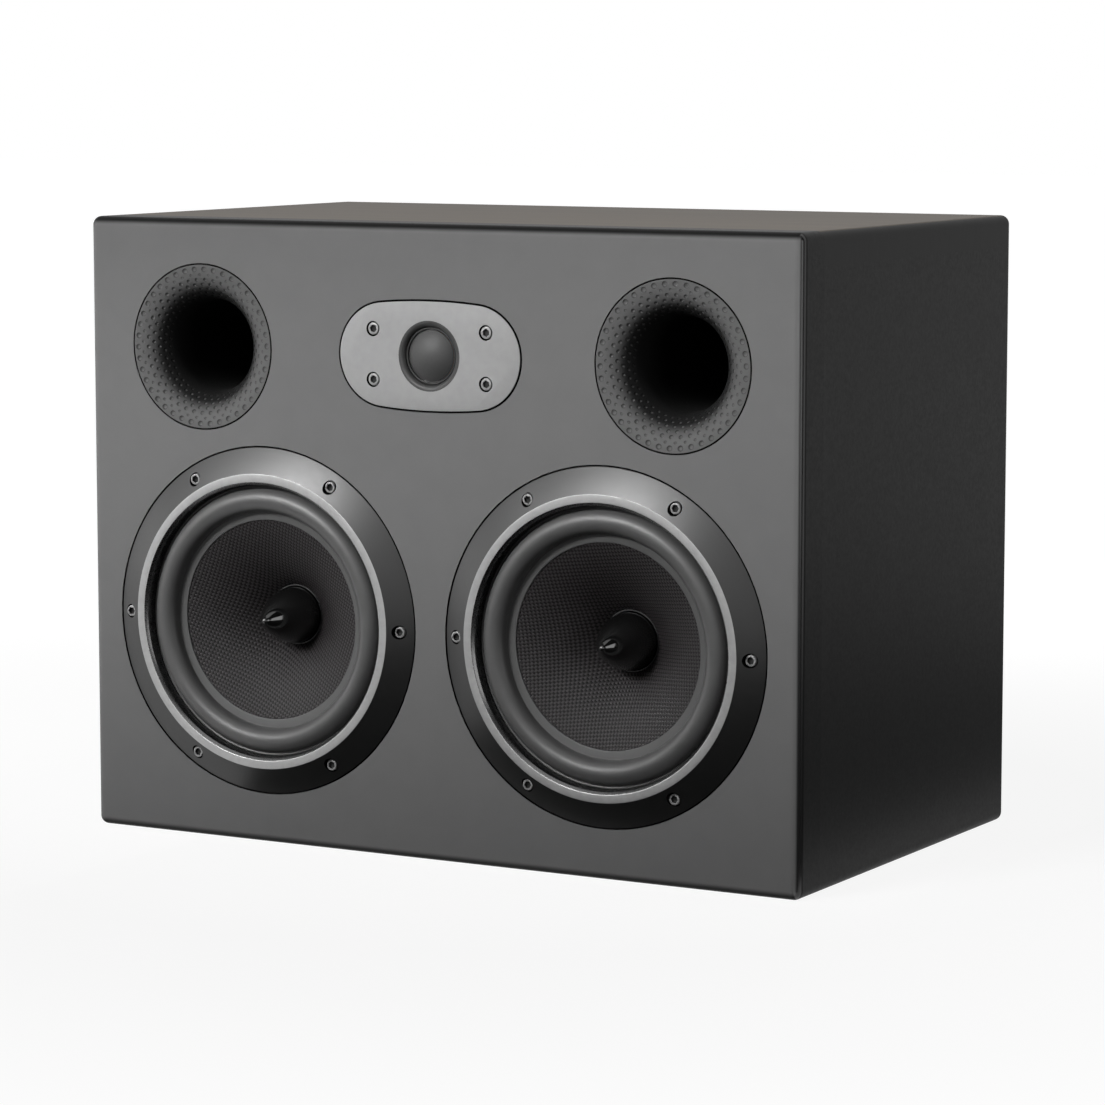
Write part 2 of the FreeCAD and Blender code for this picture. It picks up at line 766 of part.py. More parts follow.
def trim_ring(side, at):
    """Conical ring that covers the basket's flange, with a recess for each screw."""
    body = turned(f"{side}_woofer_trim_ring", [
        (dim.ring_radius, size(0)), (flat_outer, -dim.ring_rise), (flat_inner, -dim.ring_rise),
        (ring_foot, dim.ring_edge - dim.surround_thickness),
        (landing_outer + dim.glue_gap, dim.ring_edge - dim.surround_thickness),
        (landing_outer + dim.glue_gap, dim.ring_edge), (dim.ring_radius, dim.ring_edge),
    ], *at)
    above = dim.ring_rise + dim.hole_gap
    places = on_circle(woofer_screw_circle, WOOFER_SCREWS)
    recesses = new_sketch(body, "XZ_Plane", above)
    draw_circles(recesses, places, dim.woofer_head_radius + dim.woofer_recess_gap)
    pocket(body, recesses, above + woofer_head_seat)
    holes = new_sketch(body, "XZ_Plane", above)
    draw_circles(holes, places, dim.woofer_shank_radius + dim.screw_gap)
    pocket(body, holes, above + dim.ring_edge + dim.hole_gap)
    keep(body)


def basket(side, at):
    """Cast frame: flange, skirt with windows, spider shelf and back plate."""
    skirt_outer = shelf_outer + dim.skirt_wall
    skirt_back = shelf_front + dim.spider_thickness * 2
    top_inner = flat_outer - dim.skirt_wall
    body = turned(f"{side}_woofer_basket", [
        (dim.ring_radius, dim.ring_edge), (roll_outer, dim.ring_edge),
        (roll_outer, dim.ring_edge + dim.basket_lip), (top_inner, flange_back),
        (shelf_outer, shelf_front), (shelf_outer - dim.shelf_width, shelf_front),
        (shelf_outer - dim.shelf_width, pole_front), (winding_outer + dim.basket_bore_gap, pole_front),
        (winding_outer + dim.basket_bore_gap, top_plate_front), (skirt_outer, top_plate_front),
        (skirt_outer, skirt_back), (flat_outer, flange_back), (dim.ring_radius, flange_back),
    ], *at)
    drill(body, on_circle(woofer_screw_circle, WOOFER_SCREWS), dim.woofer_shank_radius + dim.screw_gap,
          flange_back + dim.hole_gap)
    high = flange_back + dim.window_top_gap
    low = shelf_front - dim.window_bottom_gap
    window = new_sketch(body, "XY_Plane")
    draw_outline(window, [
        (shelf_outer - dim.shelf_width, low), (skirt_outer + dim.shelf_width, low),
        (flat_outer + dim.shelf_width, high), (top_inner - dim.shelf_width * 2, high),
    ])
    groove = body.newObject("PartDesign::Groove", "Window")
    groove.Profile = window
    groove.ReferenceAxis = (window, ["V_Axis"])
    groove.Midplane = True
    groove.Angle = WINDOW_ANGLE
    repeat_round(body, groove, BASKET_WINDOWS)
    keep(body)


def surround(side, at):
    """Half-roll edge of the cone: outer landing, roll and inner lip."""
    edge, thick = dim.ring_edge, dim.surround_thickness
    roll, inside = dim.roll_radius, dim.roll_radius - dim.surround_thickness
    start = roll_centre + (roll * roll - thick * thick).root()
    keep(turned(f"{side}_woofer_surround", [
        (landing_outer, edge), (landing_outer, edge - thick), (start, edge - thick, roll, RIGHT),
        (roll_centre, edge - roll, roll, RIGHT), (roll_inner, edge), (roll_inner, lip_front),
        (lip_inner, lip_front), (lip_inner, cone_front), (roll_inner + thick, cone_front),
        (roll_inner + thick, edge, inside, LEFT), (roll_centre, edge - inside, inside, LEFT),
        (roll_outer - thick, edge),
    ], *at))


def cone(side, at):
    """Curved cone from its rim under the surround's lip down to the coil former."""
    rim, bend = roll_inner + dim.surround_thickness, lip_inner + dim.glue_gap
    neck, curve = former_outer + dim.glue_gap, dim.cone_curve_radius
    rim_back, neck_back = cone_front + dim.cone_thickness, neck_front + dim.cone_thickness
    keep(turned(f"{side}_woofer_cone", [
        (rim, cone_front), (bend, cone_front, curve, RIGHT), (neck, neck_front),
        (neck, neck_back, curve, LEFT), (bend, rim_back), (rim, rim_back),
    ], *at))


def voice_coil(side, at):
    """Coil former with its winding in the magnet's gap."""
    middle = top_plate_front + dim.top_plate_thickness / 2
    high, low = middle - dim.winding_length / 2, middle + dim.winding_length / 2
    top = neck_front - dim.former_stand
    keep(turned(f"{side}_woofer_voice_coil", [
        (dim.former_radius, top), (former_outer, top), (former_outer, high),
        (winding_outer, high), (winding_outer, low), (dim.former_radius, low),
    ], *at))


def spider(side, at):
    """Corrugated disc that centres the coil former on the basket's shelf."""
    inner = former_outer + dim.glue_gap
    landing = dim.spider_radius - dim.spider_landing
    step = (landing - inner) / (SPIDER_FOLDS + 1)
    front = [(dim.spider_radius, spider_front), (landing, spider_front)]
    for fold in range(SPIDER_FOLDS):
        height = dim.spider_wave * (1 if fold % 2 else -1)
        front.append((landing - step * (fold + 1), spider_front + height))
    front.append((inner, spider_front))
    back = [(radius, depth + dim.spider_thickness) for radius, depth in reversed(front)]
    keep(turned(f"{side}_woofer_spider", front + back, *at))


def phase_plug(side, at):
    """Bullet on the pole: round nose, long curved side, straight foot."""
    width, height = dim.plug_nose_width, dim.plug_nose_height
    tip = -dim.plug_tip_rise
    nose = (width * width + height * height) / (height * 2)
    shoulder = neck_front - dim.plug_shoulder_rise
    keep(turned(f"{side}_woofer_phase_plug", [
        (size(0), tip, nose, LEFT), (width, tip + height, dim.plug_curve_radius, LEFT),
        (plug_radius, shoulder), (plug_radius, pole_front), (size(0), pole_front),
    ], *at))


def motor(side, at):
    """Top plate, ring magnet, and yoke with its pole."""
    keep(turned_ring(f"{side}_woofer_top_plate", gap_radius, dim.top_plate_radius,
                     top_plate_front, magnet_front, *at))
    keep(turned_ring(f"{side}_woofer_magnet", dim.magnet_bore_radius, dim.magnet_radius,
                     magnet_front, yoke_front, *at))
    back = yoke_front + dim.yoke_thickness
    keep(turned(f"{side}_woofer_yoke", [
        (size(0), pole_front), (pole_radius, pole_front), (pole_radius, yoke_front),
        (dim.yoke_radius, yoke_front), (dim.yoke_radius, back), (size(0), back),
    ], *at))


def woofer(side, sign, screw):
    """One bass driver with its ring and screws."""
    at = (woofer_x * sign, size(0), woofer_z)
    for make in (trim_ring, basket, surround, cone, voice_coil, spider, phase_plug, motor):
        make(side, at)
    around = on_circle(woofer_screw_circle, WOOFER_SCREWS)
    places = [(x + at[0], woofer_head_top, z + at[2]) for x, z in around]
    keep_group(f"{side}_woofer_screws", copies_at(screw, places))


def tweeter_faceplate(at):
    """Oblong plate with the dome's well, a seat behind it and recessed screw holes."""
    body = new_body("tweeter_faceplate", *at)
    sketch = new_sketch(body, "XZ_Plane", dim.plate_proud)
    draw_outline(sketch, plate_outline(size(0)))
    pad(body, sketch, dim.plate_thickness)
    foot = plate_front + dim.well_depth
    well = new_sketch(body, "XY_Plane")
    draw_outline(well, [
        (size(0), plate_front), (dim.well_radius, plate_front), (dim.well_foot_radius, foot),
        (dim.well_foot_radius, surround_front), (dim.seat_radius, surround_front),
        (dim.seat_radius, plate_back), (size(0), plate_back),
    ])
    groove = body.newObject("PartDesign::Groove", "Well")
    groove.Profile = well
    groove.ReferenceAxis = (well, ["V_Axis"])
    groove.Angle = 360
    recesses = new_sketch(body, "XZ_Plane", dim.plate_proud)
    draw_circles(recesses, tweeter_screw_places, dim.tweeter_head_radius + dim.tweeter_recess_gap)
    pocket(body, recesses, tweeter_head_seat - plate_front)
    holes = new_sketch(body, "XZ_Plane", dim.plate_proud)
    draw_circles(holes, tweeter_screw_places, dim.tweeter_shank_radius + dim.screw_gap)
    pocket(body, holes, dim.plate_thickness + dim.hole_gap)
    keep(body)


def tweeter_diaphragm(at):
    """Dome, its small rubber roll and the coil on its former."""
    rise, thick = dim.dome_rise, dim.dome_thickness
    sphere = (dim.dome_radius * dim.dome_radius + rise * rise) / (rise * 2)
    keep(turned("tweeter_dome", [
        (size(0), surround_front - rise, sphere, LEFT), (dim.dome_radius, surround_front),
        (dim.dome_radius, surround_front + thick, sphere, RIGHT), (size(0), surround_front - rise + thick),
    ], *at))
    roll = (dim.well_foot_radius - dome_edge) / 2
    crest = (dim.well_foot_radius + dome_edge) / 2
    keep(turned("tweeter_surround", [
        (dim.seat_radius - dim.glue_gap, surround_back), (dim.seat_radius - dim.glue_gap, surround_front),
        (dim.well_foot_radius, surround_front, roll, RIGHT), (crest, surround_front - roll, roll, RIGHT),
        (dome_edge, surround_front), (dim.dome_radius + dim.glue_gap, surround_front),
        (dim.dome_radius + dim.glue_gap, surround_back),
    ], *at))
    top = surround_front + dim.dome_lap
    keep(turned_ring("tweeter_voice_coil", dim.tweeter_former_radius, tweeter_former_outer,
                     top, top + dim.tweeter_former_length, *at))


def tweeter_motor(at):
    """Top plate with a collar under the rubber roll, ring magnet, and yoke with its pole."""
    collar = dim.seat_radius - dim.glue_gap
    keep(turned("tweeter_top_plate", [
        (tweeter_gap_radius, plate_back), (collar - dim.tweeter_collar_width, plate_back),
        (collar - dim.tweeter_collar_width, surround_back), (collar, surround_back), (collar, plate_back),
        (dim.tweeter_plate_radius, plate_back), (dim.tweeter_plate_radius, tweeter_magnet_front),
        (tweeter_gap_radius, tweeter_magnet_front),
    ], *at))
    keep(turned_ring("tweeter_magnet", dim.tweeter_magnet_bore_radius, dim.tweeter_plate_radius,
                     tweeter_magnet_front, tweeter_yoke_front, *at))
    keep(turned("tweeter_yoke", [
        (size(0), plate_back), (tweeter_pole_radius, plate_back), (tweeter_pole_radius, tweeter_yoke_front),
        (dim.tweeter_yoke_radius, tweeter_yoke_front), (dim.tweeter_yoke_radius, tweeter_back),
        (size(0), tweeter_back),
    ], *at))


def tweeter():
    """The treble driver between the ports."""
    at = (size(0), size(0), upper_z)
    tweeter_faceplate(at)
    tweeter_diaphragm(at)
    tweeter_motor(at)
    screw = socket_screw("tweeter_screw", dim.tweeter_head_radius, dim.tweeter_head_height,
                         dim.tweeter_shank_radius, tweeter_screw_end - tweeter_head_top)
    places = [(x, tweeter_head_top, z + upper_z) for x, z in tweeter_screw_places]
    keep_group("tweeter_screws", copies_at(screw, places))


def tray_screw_places():
    """Centres of the tray's corner screws about the tray's middle."""
    reach = (dim.tray_corner - dim.tray_screw_inset) * math.sqrt(0.5)
    half, tall = tray_half_sizes(reach - dim.tray_corner)
    return [(half * side, tall * level) for side in (-1, 1) for level in (-1, 1)]


def terminal_tray():
    """Recessed cup in the rear panel with its flange let in flush, and its screws."""
    body = new_body("terminal_tray", depth=tray_inside, z=dim.tray_height)
    length = cabinet_depth - tray_inside
    sketch = new_sketch(body, "XZ_Plane")
    draw_outline(sketch, tray_outline(-dim.tray_flange, size(0)))
    pad(body, sketch, length)
    flange = new_sketch(body, "XZ_Plane", dim.tray_flange_thickness - length)
    draw_outline(flange, tray_outline(size(0), size(0)))
    pad(body, flange, dim.tray_flange_thickness)
    hollow = new_sketch(body, "XZ_Plane", -length)
    draw_outline(hollow, tray_outline(-(dim.tray_flange + dim.tray_wall), size(0)))
    pocket(body, hollow, dim.tray_depth, forward=True)
    posts = [(dim.post_spacing / 2 * side, size(0)) for side in (-1, 1)]
    drill(body, posts, thread_bore, dim.tray_wall + dim.hole_gap)
    recesses = new_sketch(body, "XZ_Plane", -length)
    draw_circles(recesses, tray_screw_places(), dim.tray_head_radius + dim.screw_gap)
    pocket(body, recesses, dim.tray_head_height, forward=True)
    holes = new_sketch(body, "XZ_Plane", -length)
    draw_circles(holes, tray_screw_places(), dim.tray_shank_radius + dim.screw_gap)
    pocket(body, holes, dim.tray_flange_thickness + dim.hole_gap, forward=True)
    keep(body)
    reach = dim.tray_flange_thickness + dim.tray_screw_bite
    screw = turned("tray_screw", [
        (size(0), -reach), (dim.tray_shank_radius, -reach), (dim.tray_shank_radius, -dim.tray_head_height),
        (dim.tray_head_radius, -dim.tray_head_height), (dim.tray_head_radius, size(0)), (size(0), size(0)),
    ])
    places = [(x, cabinet_depth, z + dim.tray_height) for x, z in tray_screw_places()]
    keep_group("tray_screws", copies_at(screw, places))


def terminal_post(name, sign):
    """Stud with a plug socket in its end, its clamping washer and its fluted knob."""
    at = (dim.post_spacing / 2 * sign, size(0), dim.tray_height)
    keep(turned(f"{name}_post", [
        (size(0), stud_inner_end), (dim.stud_radius, stud_inner_end), (dim.stud_radius, tray_floor),
        (dim.collar_radius, tray_floor), (dim.collar_radius, collar_top), (dim.stud_radius, collar_top),
        (dim.stud_radius, stud_end), (dim.socket_radius, stud_end),
        (dim.socket_radius, stud_end - dim.socket_depth), (size(0), stud_end - dim.socket_depth),
    ], *at))
    keep(turned_ring(f"{name}_washer", thread_bore, dim.washer_radius, collar_top, knob_base, *at))
    cut = dim.knob_chamfer
    knob = turned(f"{name}_knob", [
        (thread_bore, knob_base), (dim.knob_radius, knob_base), (dim.knob_radius, knob_end - cut),
        (dim.knob_radius - cut, knob_end), (thread_bore, knob_end),
    ], *at)
    flute = new_sketch(knob, "XZ_Plane", -(knob_base + dim.washer_thickness * 2))
    draw_circles(flute, [(dim.knob_radius + dim.flute_radius / 2, size(0))], dim.flute_radius)
    repeat_round(knob, pocket(knob, flute, knob_end - knob_base), KNOB_FLUTES)
    keep(knob)


def terminal_nuts():
    """Hexagon nuts that hold the posts from inside."""
    nut = new_body("terminal_nut", depth=tray_inside - dim.nut_thickness)
    sketch = new_sketch(nut, "XZ_Plane")
    draw_outline(sketch, on_circle(dim.nut_radius, HEXAGON))
    pad(nut, sketch, dim.nut_thickness)
    drill(nut, [(size(0), size(0))], thread_bore, dim.nut_thickness + dim.hole_gap)
    depth = tray_inside - dim.nut_thickness
    places = [(dim.post_spacing / 2 * side, depth, dim.tray_height) for side in (-1, 1)]
    keep_group("terminal_nuts", copies_at(nut, places))


def upright_cylinder(radius, height, x, depth, bottom):
    """A shape standing on a level surface."""
    base = FreeCAD.Vector(x.value, (front_y + depth).value, bottom.value)
    return Part.makeCylinder(radius.value, height.value, base)


def crossover():
    """Board on spacers behind the brace, with its components standing or lying on it."""
    board = doc.addObject("Part::Box", "crossover_board")
    board.Label = "crossover_board"
    board.setExpression("Length", (board_half_width * 2).formula)
    board.setExpression("Width", (board_half_depth * 2).formula)
    board.setExpression("Height", dim.board_thickness.formula)
    place(board, -board_half_width, board_middle - board_half_depth, board_bottom)
    keep(board)
    out, deep = board_half_width - dim.spacer_inset, board_half_depth - dim.spacer_inset
    keep_group("crossover_spacers", [
        upright_cylinder(dim.spacer_radius, dim.spacer_height, out * side, board_middle + deep * end,
                         dim.panel_thickness)
        for side in (-1, 1) for end in (-1, 1)
    ])
    coils = []
    for x in (-dim.inductor_outer_x, -dim.inductor_inner_x, dim.inductor_outer_x):
        coil = upright_cylinder(dim.inductor_radius, dim.inductor_height, x, board_middle, board_top)
        bore = upright_cylinder(dim.inductor_bore_radius, dim.inductor_height, x, board_middle, board_top)
        coils.append(coil.cut(bore))
    keep_group("crossover_inductors", coils)
    start = front_y + board_middle - dim.capacitor_length / 2
    level = board_top + dim.capacitor_radius
    keep_group("crossover_capacitors", [
        Part.makeCylinder(dim.capacitor_radius.value, dim.capacitor_length.value,
                          FreeCAD.Vector(x.value, start.value, level.value), FreeCAD.Vector(0, 1, 0))
        for x in (-dim.capacitor_outer_x, dim.capacitor_inner_x, dim.capacitor_outer_x)
    ])
    start = front_y + board_middle - dim.resistor_length / 2
    keep_group("crossover_resistors", [
        Part.makeBox(dim.resistor_side.value, dim.resistor_length.value, dim.resistor_side.value,
                     FreeCAD.Vector((x - dim.resistor_side / 2).value, start.value, board_top.value))
        for x in (size(0), dim.resistor_x)
    ])


def cable_shape(route, radius):
    """Round cable along straight runs joined by arcs of the cable's bend radius."""
    points = [FreeCAD.Vector(x.value, (front_y + depth).value, z.value) for x, depth, z in route]
    bend = dim.cable_bend.value
    edges = []
    start = points[0]
    for before, corner, after in zip(points, points[1:], points[2:]):
        back = (before - corner).normalize()
        onward = (after - corner).normalize()
        inner = corner + (back + onward) * (bend * (1 - math.sqrt(0.5)))
        first, last = corner + back * bend, corner + onward * bend
        edges.append(Part.LineSegment(start, first).toShape())
        edges.append(Part.Arc(first, inner, last).toShape())
        start = last
    edges.append(Part.LineSegment(start, points[-1]).toShape())
    path = Part.Wire(edges)
    circle = Part.makeCircle(radius.value, points[0], points[1] - points[0])
    return path.makePipeShell([Part.Wire(circle)], True, False)


def wiring():
    """Cables from the crossover to each driver, and wires from the terminals to it."""
    run = dim.panel_thickness + dim.brace_bar + dim.cable_lift
    basket_middle = (top_plate_front + pole_front) / 2
    basket_low = woofer_z - shelf_outer - dim.skirt_wall - dim.glue_gap
    foot = board_middle - dim.capacitor_length / 2 - dim.cable_clearance - dim.cable_radius
    for label, sign in (("left_woofer_cable", -1), ("right_woofer_cable", 1)):
        x = woofer_x * sign
        keep_group(label, [cable_shape([
            (x, foot, board_top), (x, foot, run), (x, basket_middle, run), (x, basket_middle, basket_low),
        ], dim.cable_radius)])
    x = dim.treble_cable_x
    keep_group("tweeter_cable", [cable_shape([
        (x, board_middle, board_top), (x, board_middle, upper_z), (x, tweeter_back, upper_z),
    ], dim.cable_radius)])
    keep_group("input_wires", [cable_shape([
        (dim.post_spacing / 2 * side, board_middle, board_top),
        (dim.post_spacing / 2 * side, board_middle, dim.tray_height),
        (dim.post_spacing / 2 * side, stud_inner_end, dim.tray_height),
    ], dim.input_wire_radius) for side in (-1, 1)])


def check_and_write():
    """Stop on any failed object, else write each sub-part to its own file."""
    doc.recompute()
    failed = [item.Label for item in doc.Objects if {"Invalid", "Error"} & set(item.State)]
    failed += [piece.Label for piece in pieces if piece.Shape.isNull() or not piece.Shape.isValid()]
    if failed:
        raise RuntimeError("failed: " + ", ".join(failed))
    os.makedirs("parts", exist_ok=True)
    for piece in pieces:
        piece.Shape.exportStep(f"parts/{piece.Label}.step")
    print(f"{len(pieces)} sub-parts, {cabinet_height.value:g} high, {half_width.value * 2:g} wide,"
          f" {cabinet_depth.value:g} deep")


front_baffle()
cabinet_shell()
rear_panel()
window_brace()
damping_sheet("left_damping_sheet", -1)
damping_sheet("right_damping_sheet", 1)
ports()
woofer_screw = socket_screw("woofer_screw", dim.woofer_head_radius, dim.woofer_head_height,
                            dim.woofer_shank_radius, woofer_screw_end - woofer_head_top)
woofer("left", -1, woofer_screw)
woofer("right", 1, woofer_screw)
tweeter()
terminal_tray()
terminal_post("positive", 1)
terminal_post("negative", -1)
terminal_nuts()
crossover()
wiring()
check_and_write()
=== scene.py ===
import json
import math

import bmesh
import bpy
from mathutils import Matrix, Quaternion, Vector
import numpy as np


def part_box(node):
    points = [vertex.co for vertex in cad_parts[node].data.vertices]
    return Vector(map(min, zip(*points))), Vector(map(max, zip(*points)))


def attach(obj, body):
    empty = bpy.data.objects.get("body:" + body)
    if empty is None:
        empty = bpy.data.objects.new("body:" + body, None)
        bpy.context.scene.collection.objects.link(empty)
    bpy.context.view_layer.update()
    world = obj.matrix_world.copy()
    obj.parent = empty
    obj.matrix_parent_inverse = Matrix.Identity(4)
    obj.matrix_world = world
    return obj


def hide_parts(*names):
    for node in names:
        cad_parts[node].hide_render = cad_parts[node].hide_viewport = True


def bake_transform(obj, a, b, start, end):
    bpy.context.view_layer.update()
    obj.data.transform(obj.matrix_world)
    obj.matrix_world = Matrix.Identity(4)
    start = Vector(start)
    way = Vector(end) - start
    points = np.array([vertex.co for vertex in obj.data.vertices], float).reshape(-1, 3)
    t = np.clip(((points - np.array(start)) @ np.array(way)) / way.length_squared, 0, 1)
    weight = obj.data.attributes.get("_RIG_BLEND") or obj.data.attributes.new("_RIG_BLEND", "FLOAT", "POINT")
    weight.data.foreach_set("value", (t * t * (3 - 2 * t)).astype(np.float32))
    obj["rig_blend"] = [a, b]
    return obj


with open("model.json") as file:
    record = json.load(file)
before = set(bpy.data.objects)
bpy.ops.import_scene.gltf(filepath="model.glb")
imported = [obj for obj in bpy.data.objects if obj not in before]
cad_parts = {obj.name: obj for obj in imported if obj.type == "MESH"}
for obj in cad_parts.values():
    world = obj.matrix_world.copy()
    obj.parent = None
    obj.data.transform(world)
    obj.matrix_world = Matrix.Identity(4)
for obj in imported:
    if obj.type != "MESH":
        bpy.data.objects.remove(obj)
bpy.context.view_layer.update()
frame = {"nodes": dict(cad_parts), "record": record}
MM = 0.001

# Sizes in millimetres

# Depths run back from the baffle's front plane. The screws' recesses and sockets, the plug's nose and curve, the gap
# round the plate, the well's seat and the dents' radius and depth are the scene's own. The others are the part's.
SCREW_CIRCLE, SCREWS_PER_RING = 89.6, 6
RING_SCREW = {"head": 3.1, "height": 3.4, "seat": 0.46, "recess": 3.9, "socket": 2.1, "hollow": 1.8}
PLATE_SCREW = {"head": 3.35, "height": 2.4, "seat": 2.2, "recess": 4.2, "socket": 2.1, "hollow": 1.5}
PLATE_SCREW_X, PLATE_SCREW_Z = 35.7, 13.9

CONE_CURVE, CONE_NECK, CONE_BEND = 95.0, (17.1, 32.4), (56.4, 5.4)
CONE_RIM, CONE_THICKNESS = 62.2, 1.0
FORMER_RADIUS, FORMER_WALL = 16.5, 0.5
ROLL_MIDDLE, ROLL_DEPTH, ROLL_RADIUS, ROLL_WALL = 68.0, 3.0, 6.8, 1.0
LANDING_RADIUS, LANDING_FRONT, LIP_FRONT, LIP_INNER = 79.6, 2.0, 4.4, 56.3

PLUG_TIP, PLUG_NOSE, PLUG_CURVE = -2.3, (1.8, -1.1), 57.0
PLUG_SHOULDER, PLUG_FOOT = (15.7, 26.0), 51.0

PLATE_WIDE, PLATE_HIGH, PLATE_DROP, PLATE_END = 115.2, 60.7, 1.35, 29.0
PLATE_FRONT, PLATE_BACK, PLATE_GAP = -0.5, 3.5, 0.6
WELL_THROAT, WELL_FLOOR, WELL_SEAT = 15.8, 2.3, 19.3
DOME_RADIUS, DOME_APEX, DOME_WALL = 14.1, -2.2, 0.4
SMALL_ROLL_MIDDLE, SMALL_ROLL_RADIUS, SMALL_ROLL_WALL = 15.1, 0.7, 0.3

FLANGE_RADIUS, FLANGE_RIM, FLANGE_BACK = 46.3, 1.0, 4.0
FLARE_RADIUS, FLARE_BACK, TUBE_WALL, TUBE_END = 19.8, 16.8, 3.0, 120.0
DENT_FIRST, DENT_RADIUS, DENT_DEPTH, DENTS_AROUND = 43.3, 1.55, 0.75, 42

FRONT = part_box("front_baffle")[0].y


def on_front(node):
    """The point on the baffle's front plane that a node is centred on."""
    low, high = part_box(node)
    return Vector(((low.x + high.x) / 2, FRONT, (low.z + high.z) / 2))


# Node trees

class Term:
    """A number in a node tree, written in ordinary arithmetic."""

    def __init__(self, socket):
        self.socket = socket

    def math(self, operation, *others):
        node = self.socket.id_data.nodes.new("ShaderNodeMath")
        node.operation = operation
        for place, value in enumerate((self, *others)):
            join(node.inputs[place], value)
        return Term(node.outputs[0])

    def __add__(self, other):
        return self.math("ADD", other)

    def __sub__(self, other):
        return self.math("SUBTRACT", other)

    def __mul__(self, other):
        return self.math("MULTIPLY", other)

    def __truediv__(self, other):
        return self.math("DIVIDE", other)

    def __neg__(self):
        return self * -1.0

    def __rsub__(self, other):
        return -self + other

    __radd__ = __add__
    __rmul__ = __mul__


def join(socket, value):
    """Link a socket to another node's output, or set it to a plain value."""
    if isinstance(value, Term):
        value = value.socket
    if isinstance(value, bpy.types.NodeSocket):
        socket.id_data.links.new(value, socket)
    else:
        socket.default_value = value


def add(tree, kind, settings=(), **inputs):
    """A new node with its settings, and its inputs joined by name, where an underscore stands for a space."""
    node = tree.nodes.new(kind)
    for setting, value in dict(settings).items():
        setattr(node, setting, value)
    for label, value in inputs.items():
        join(node.inputs[label.replace("_", " ")], value)
    return node


def axes(tree, vector):
    """The three numbers of a vector."""
    parts = add(tree, "ShaderNodeSeparateXYZ", Vector=vector)
    return [Term(parts.outputs[axis]) for axis in "XYZ"]


def vector(tree, x, y, z):
    """A vector made of three numbers."""
    return add(tree, "ShaderNodeCombineXYZ", X=x, Y=y, Z=z).outputs["Vector"]


def new_tree(name, kind, inputs, outputs):
    """An empty node group, its input terms by name and its output node."""
    tree = bpy.data.node_groups.new(name, kind)
    for direction, sockets in (("INPUT", inputs), ("OUTPUT", outputs)):
        for label, socket in sockets.items():
            tree.interface.new_socket(label, in_out=direction, socket_type="NodeSocket" + socket)
    entry = tree.nodes.new("NodeGroupInput")
    return tree, {label: Term(entry.outputs[label]) for label in inputs}, tree.nodes.new("NodeGroupOutput")


def moved(tree, centre, *offsets):
    """The point that lies at an offset from a centre."""
    return vector(tree, *(middle + offset for middle, offset in zip(axes(tree, centre), offsets)))


def shaded_point(tree):
    """The point of an object that its material is looked up at."""
    return add(tree, "ShaderNodeTexCoord").outputs["Object"]


def mixed(tree, share, first, second):
    """A colour between two others. The node has several sockets of one name, so they are taken by number."""
    tone = add(tree, "ShaderNodeMix", {"data_type": "RGBA"})
    for place, value in ((0, share), (6, first), (7, second)):
        join(tone.inputs[place], value)
    return tone.outputs[2]


# Finishes

BUMP_HEIGHT = 0.0002


def grain_group(tone_range=(0.3, 0.7), rough_range=(0.25, 0.75), finer=9.0):
    """Two tones, a roughness and a height that all wander together over a surface."""
    tree, given, out = new_tree(
        "surface_grain", "ShaderNodeTree",
        {"Dark": "Color", "Light": "Color", "Scale": "Float", "Smoothest": "Float", "Roughest": "Float",
         "Stretch": "Vector"},
        {"Colour": "Color", "Roughness": "Float", "Height": "Float"})
    place = add(tree, "ShaderNodeMapping", Vector=shaded_point(tree), Scale=given["Stretch"]).outputs["Vector"]
    broad = add(tree, "ShaderNodeTexNoise", Vector=place, Scale=given["Scale"], Detail=4.0)
    fine = add(tree, "ShaderNodeTexNoise", Vector=place, Scale=given["Scale"] * finer, Detail=2.0)
    mask = add(tree, "ShaderNodeMapRange", Value=broad.outputs["Fac"], From_Min=tone_range[0],
               From_Max=tone_range[1])
    rough = add(tree, "ShaderNodeMapRange", Value=fine.outputs["Fac"], From_Min=rough_range[0],
                From_Max=rough_range[1], To_Min=given["Smoothest"], To_Max=given["Roughest"])
    join(out.inputs["Colour"], mixed(tree, mask.outputs["Result"], given["Dark"], given["Light"]))
    join(out.inputs["Roughness"], rough.outputs["Result"])
    join(out.inputs["Height"], fine.outputs["Fac"])
    return tree


def fade_group():
    """A mask that is one at the baffle's front and falls to nothing between two depths."""
    tree, given, out = new_tree("depth_fade", "ShaderNodeTree", {"Start": "Float", "End": "Float"},
                                {"Mask": "Float"})
    _, y, _ = axes(tree, shaded_point(tree))
    fall = add(tree, "ShaderNodeMapRange", {"interpolation_type": "SMOOTHSTEP"}, Value=y - FRONT,
               From_Min=given["Start"], From_Max=given["End"], To_Min=1.0, To_Max=0.0)
    join(out.inputs["Mask"], fall.outputs["Result"])
    return tree


SURFACE_GRAIN = grain_group()
DEPTH_FADE = fade_group()


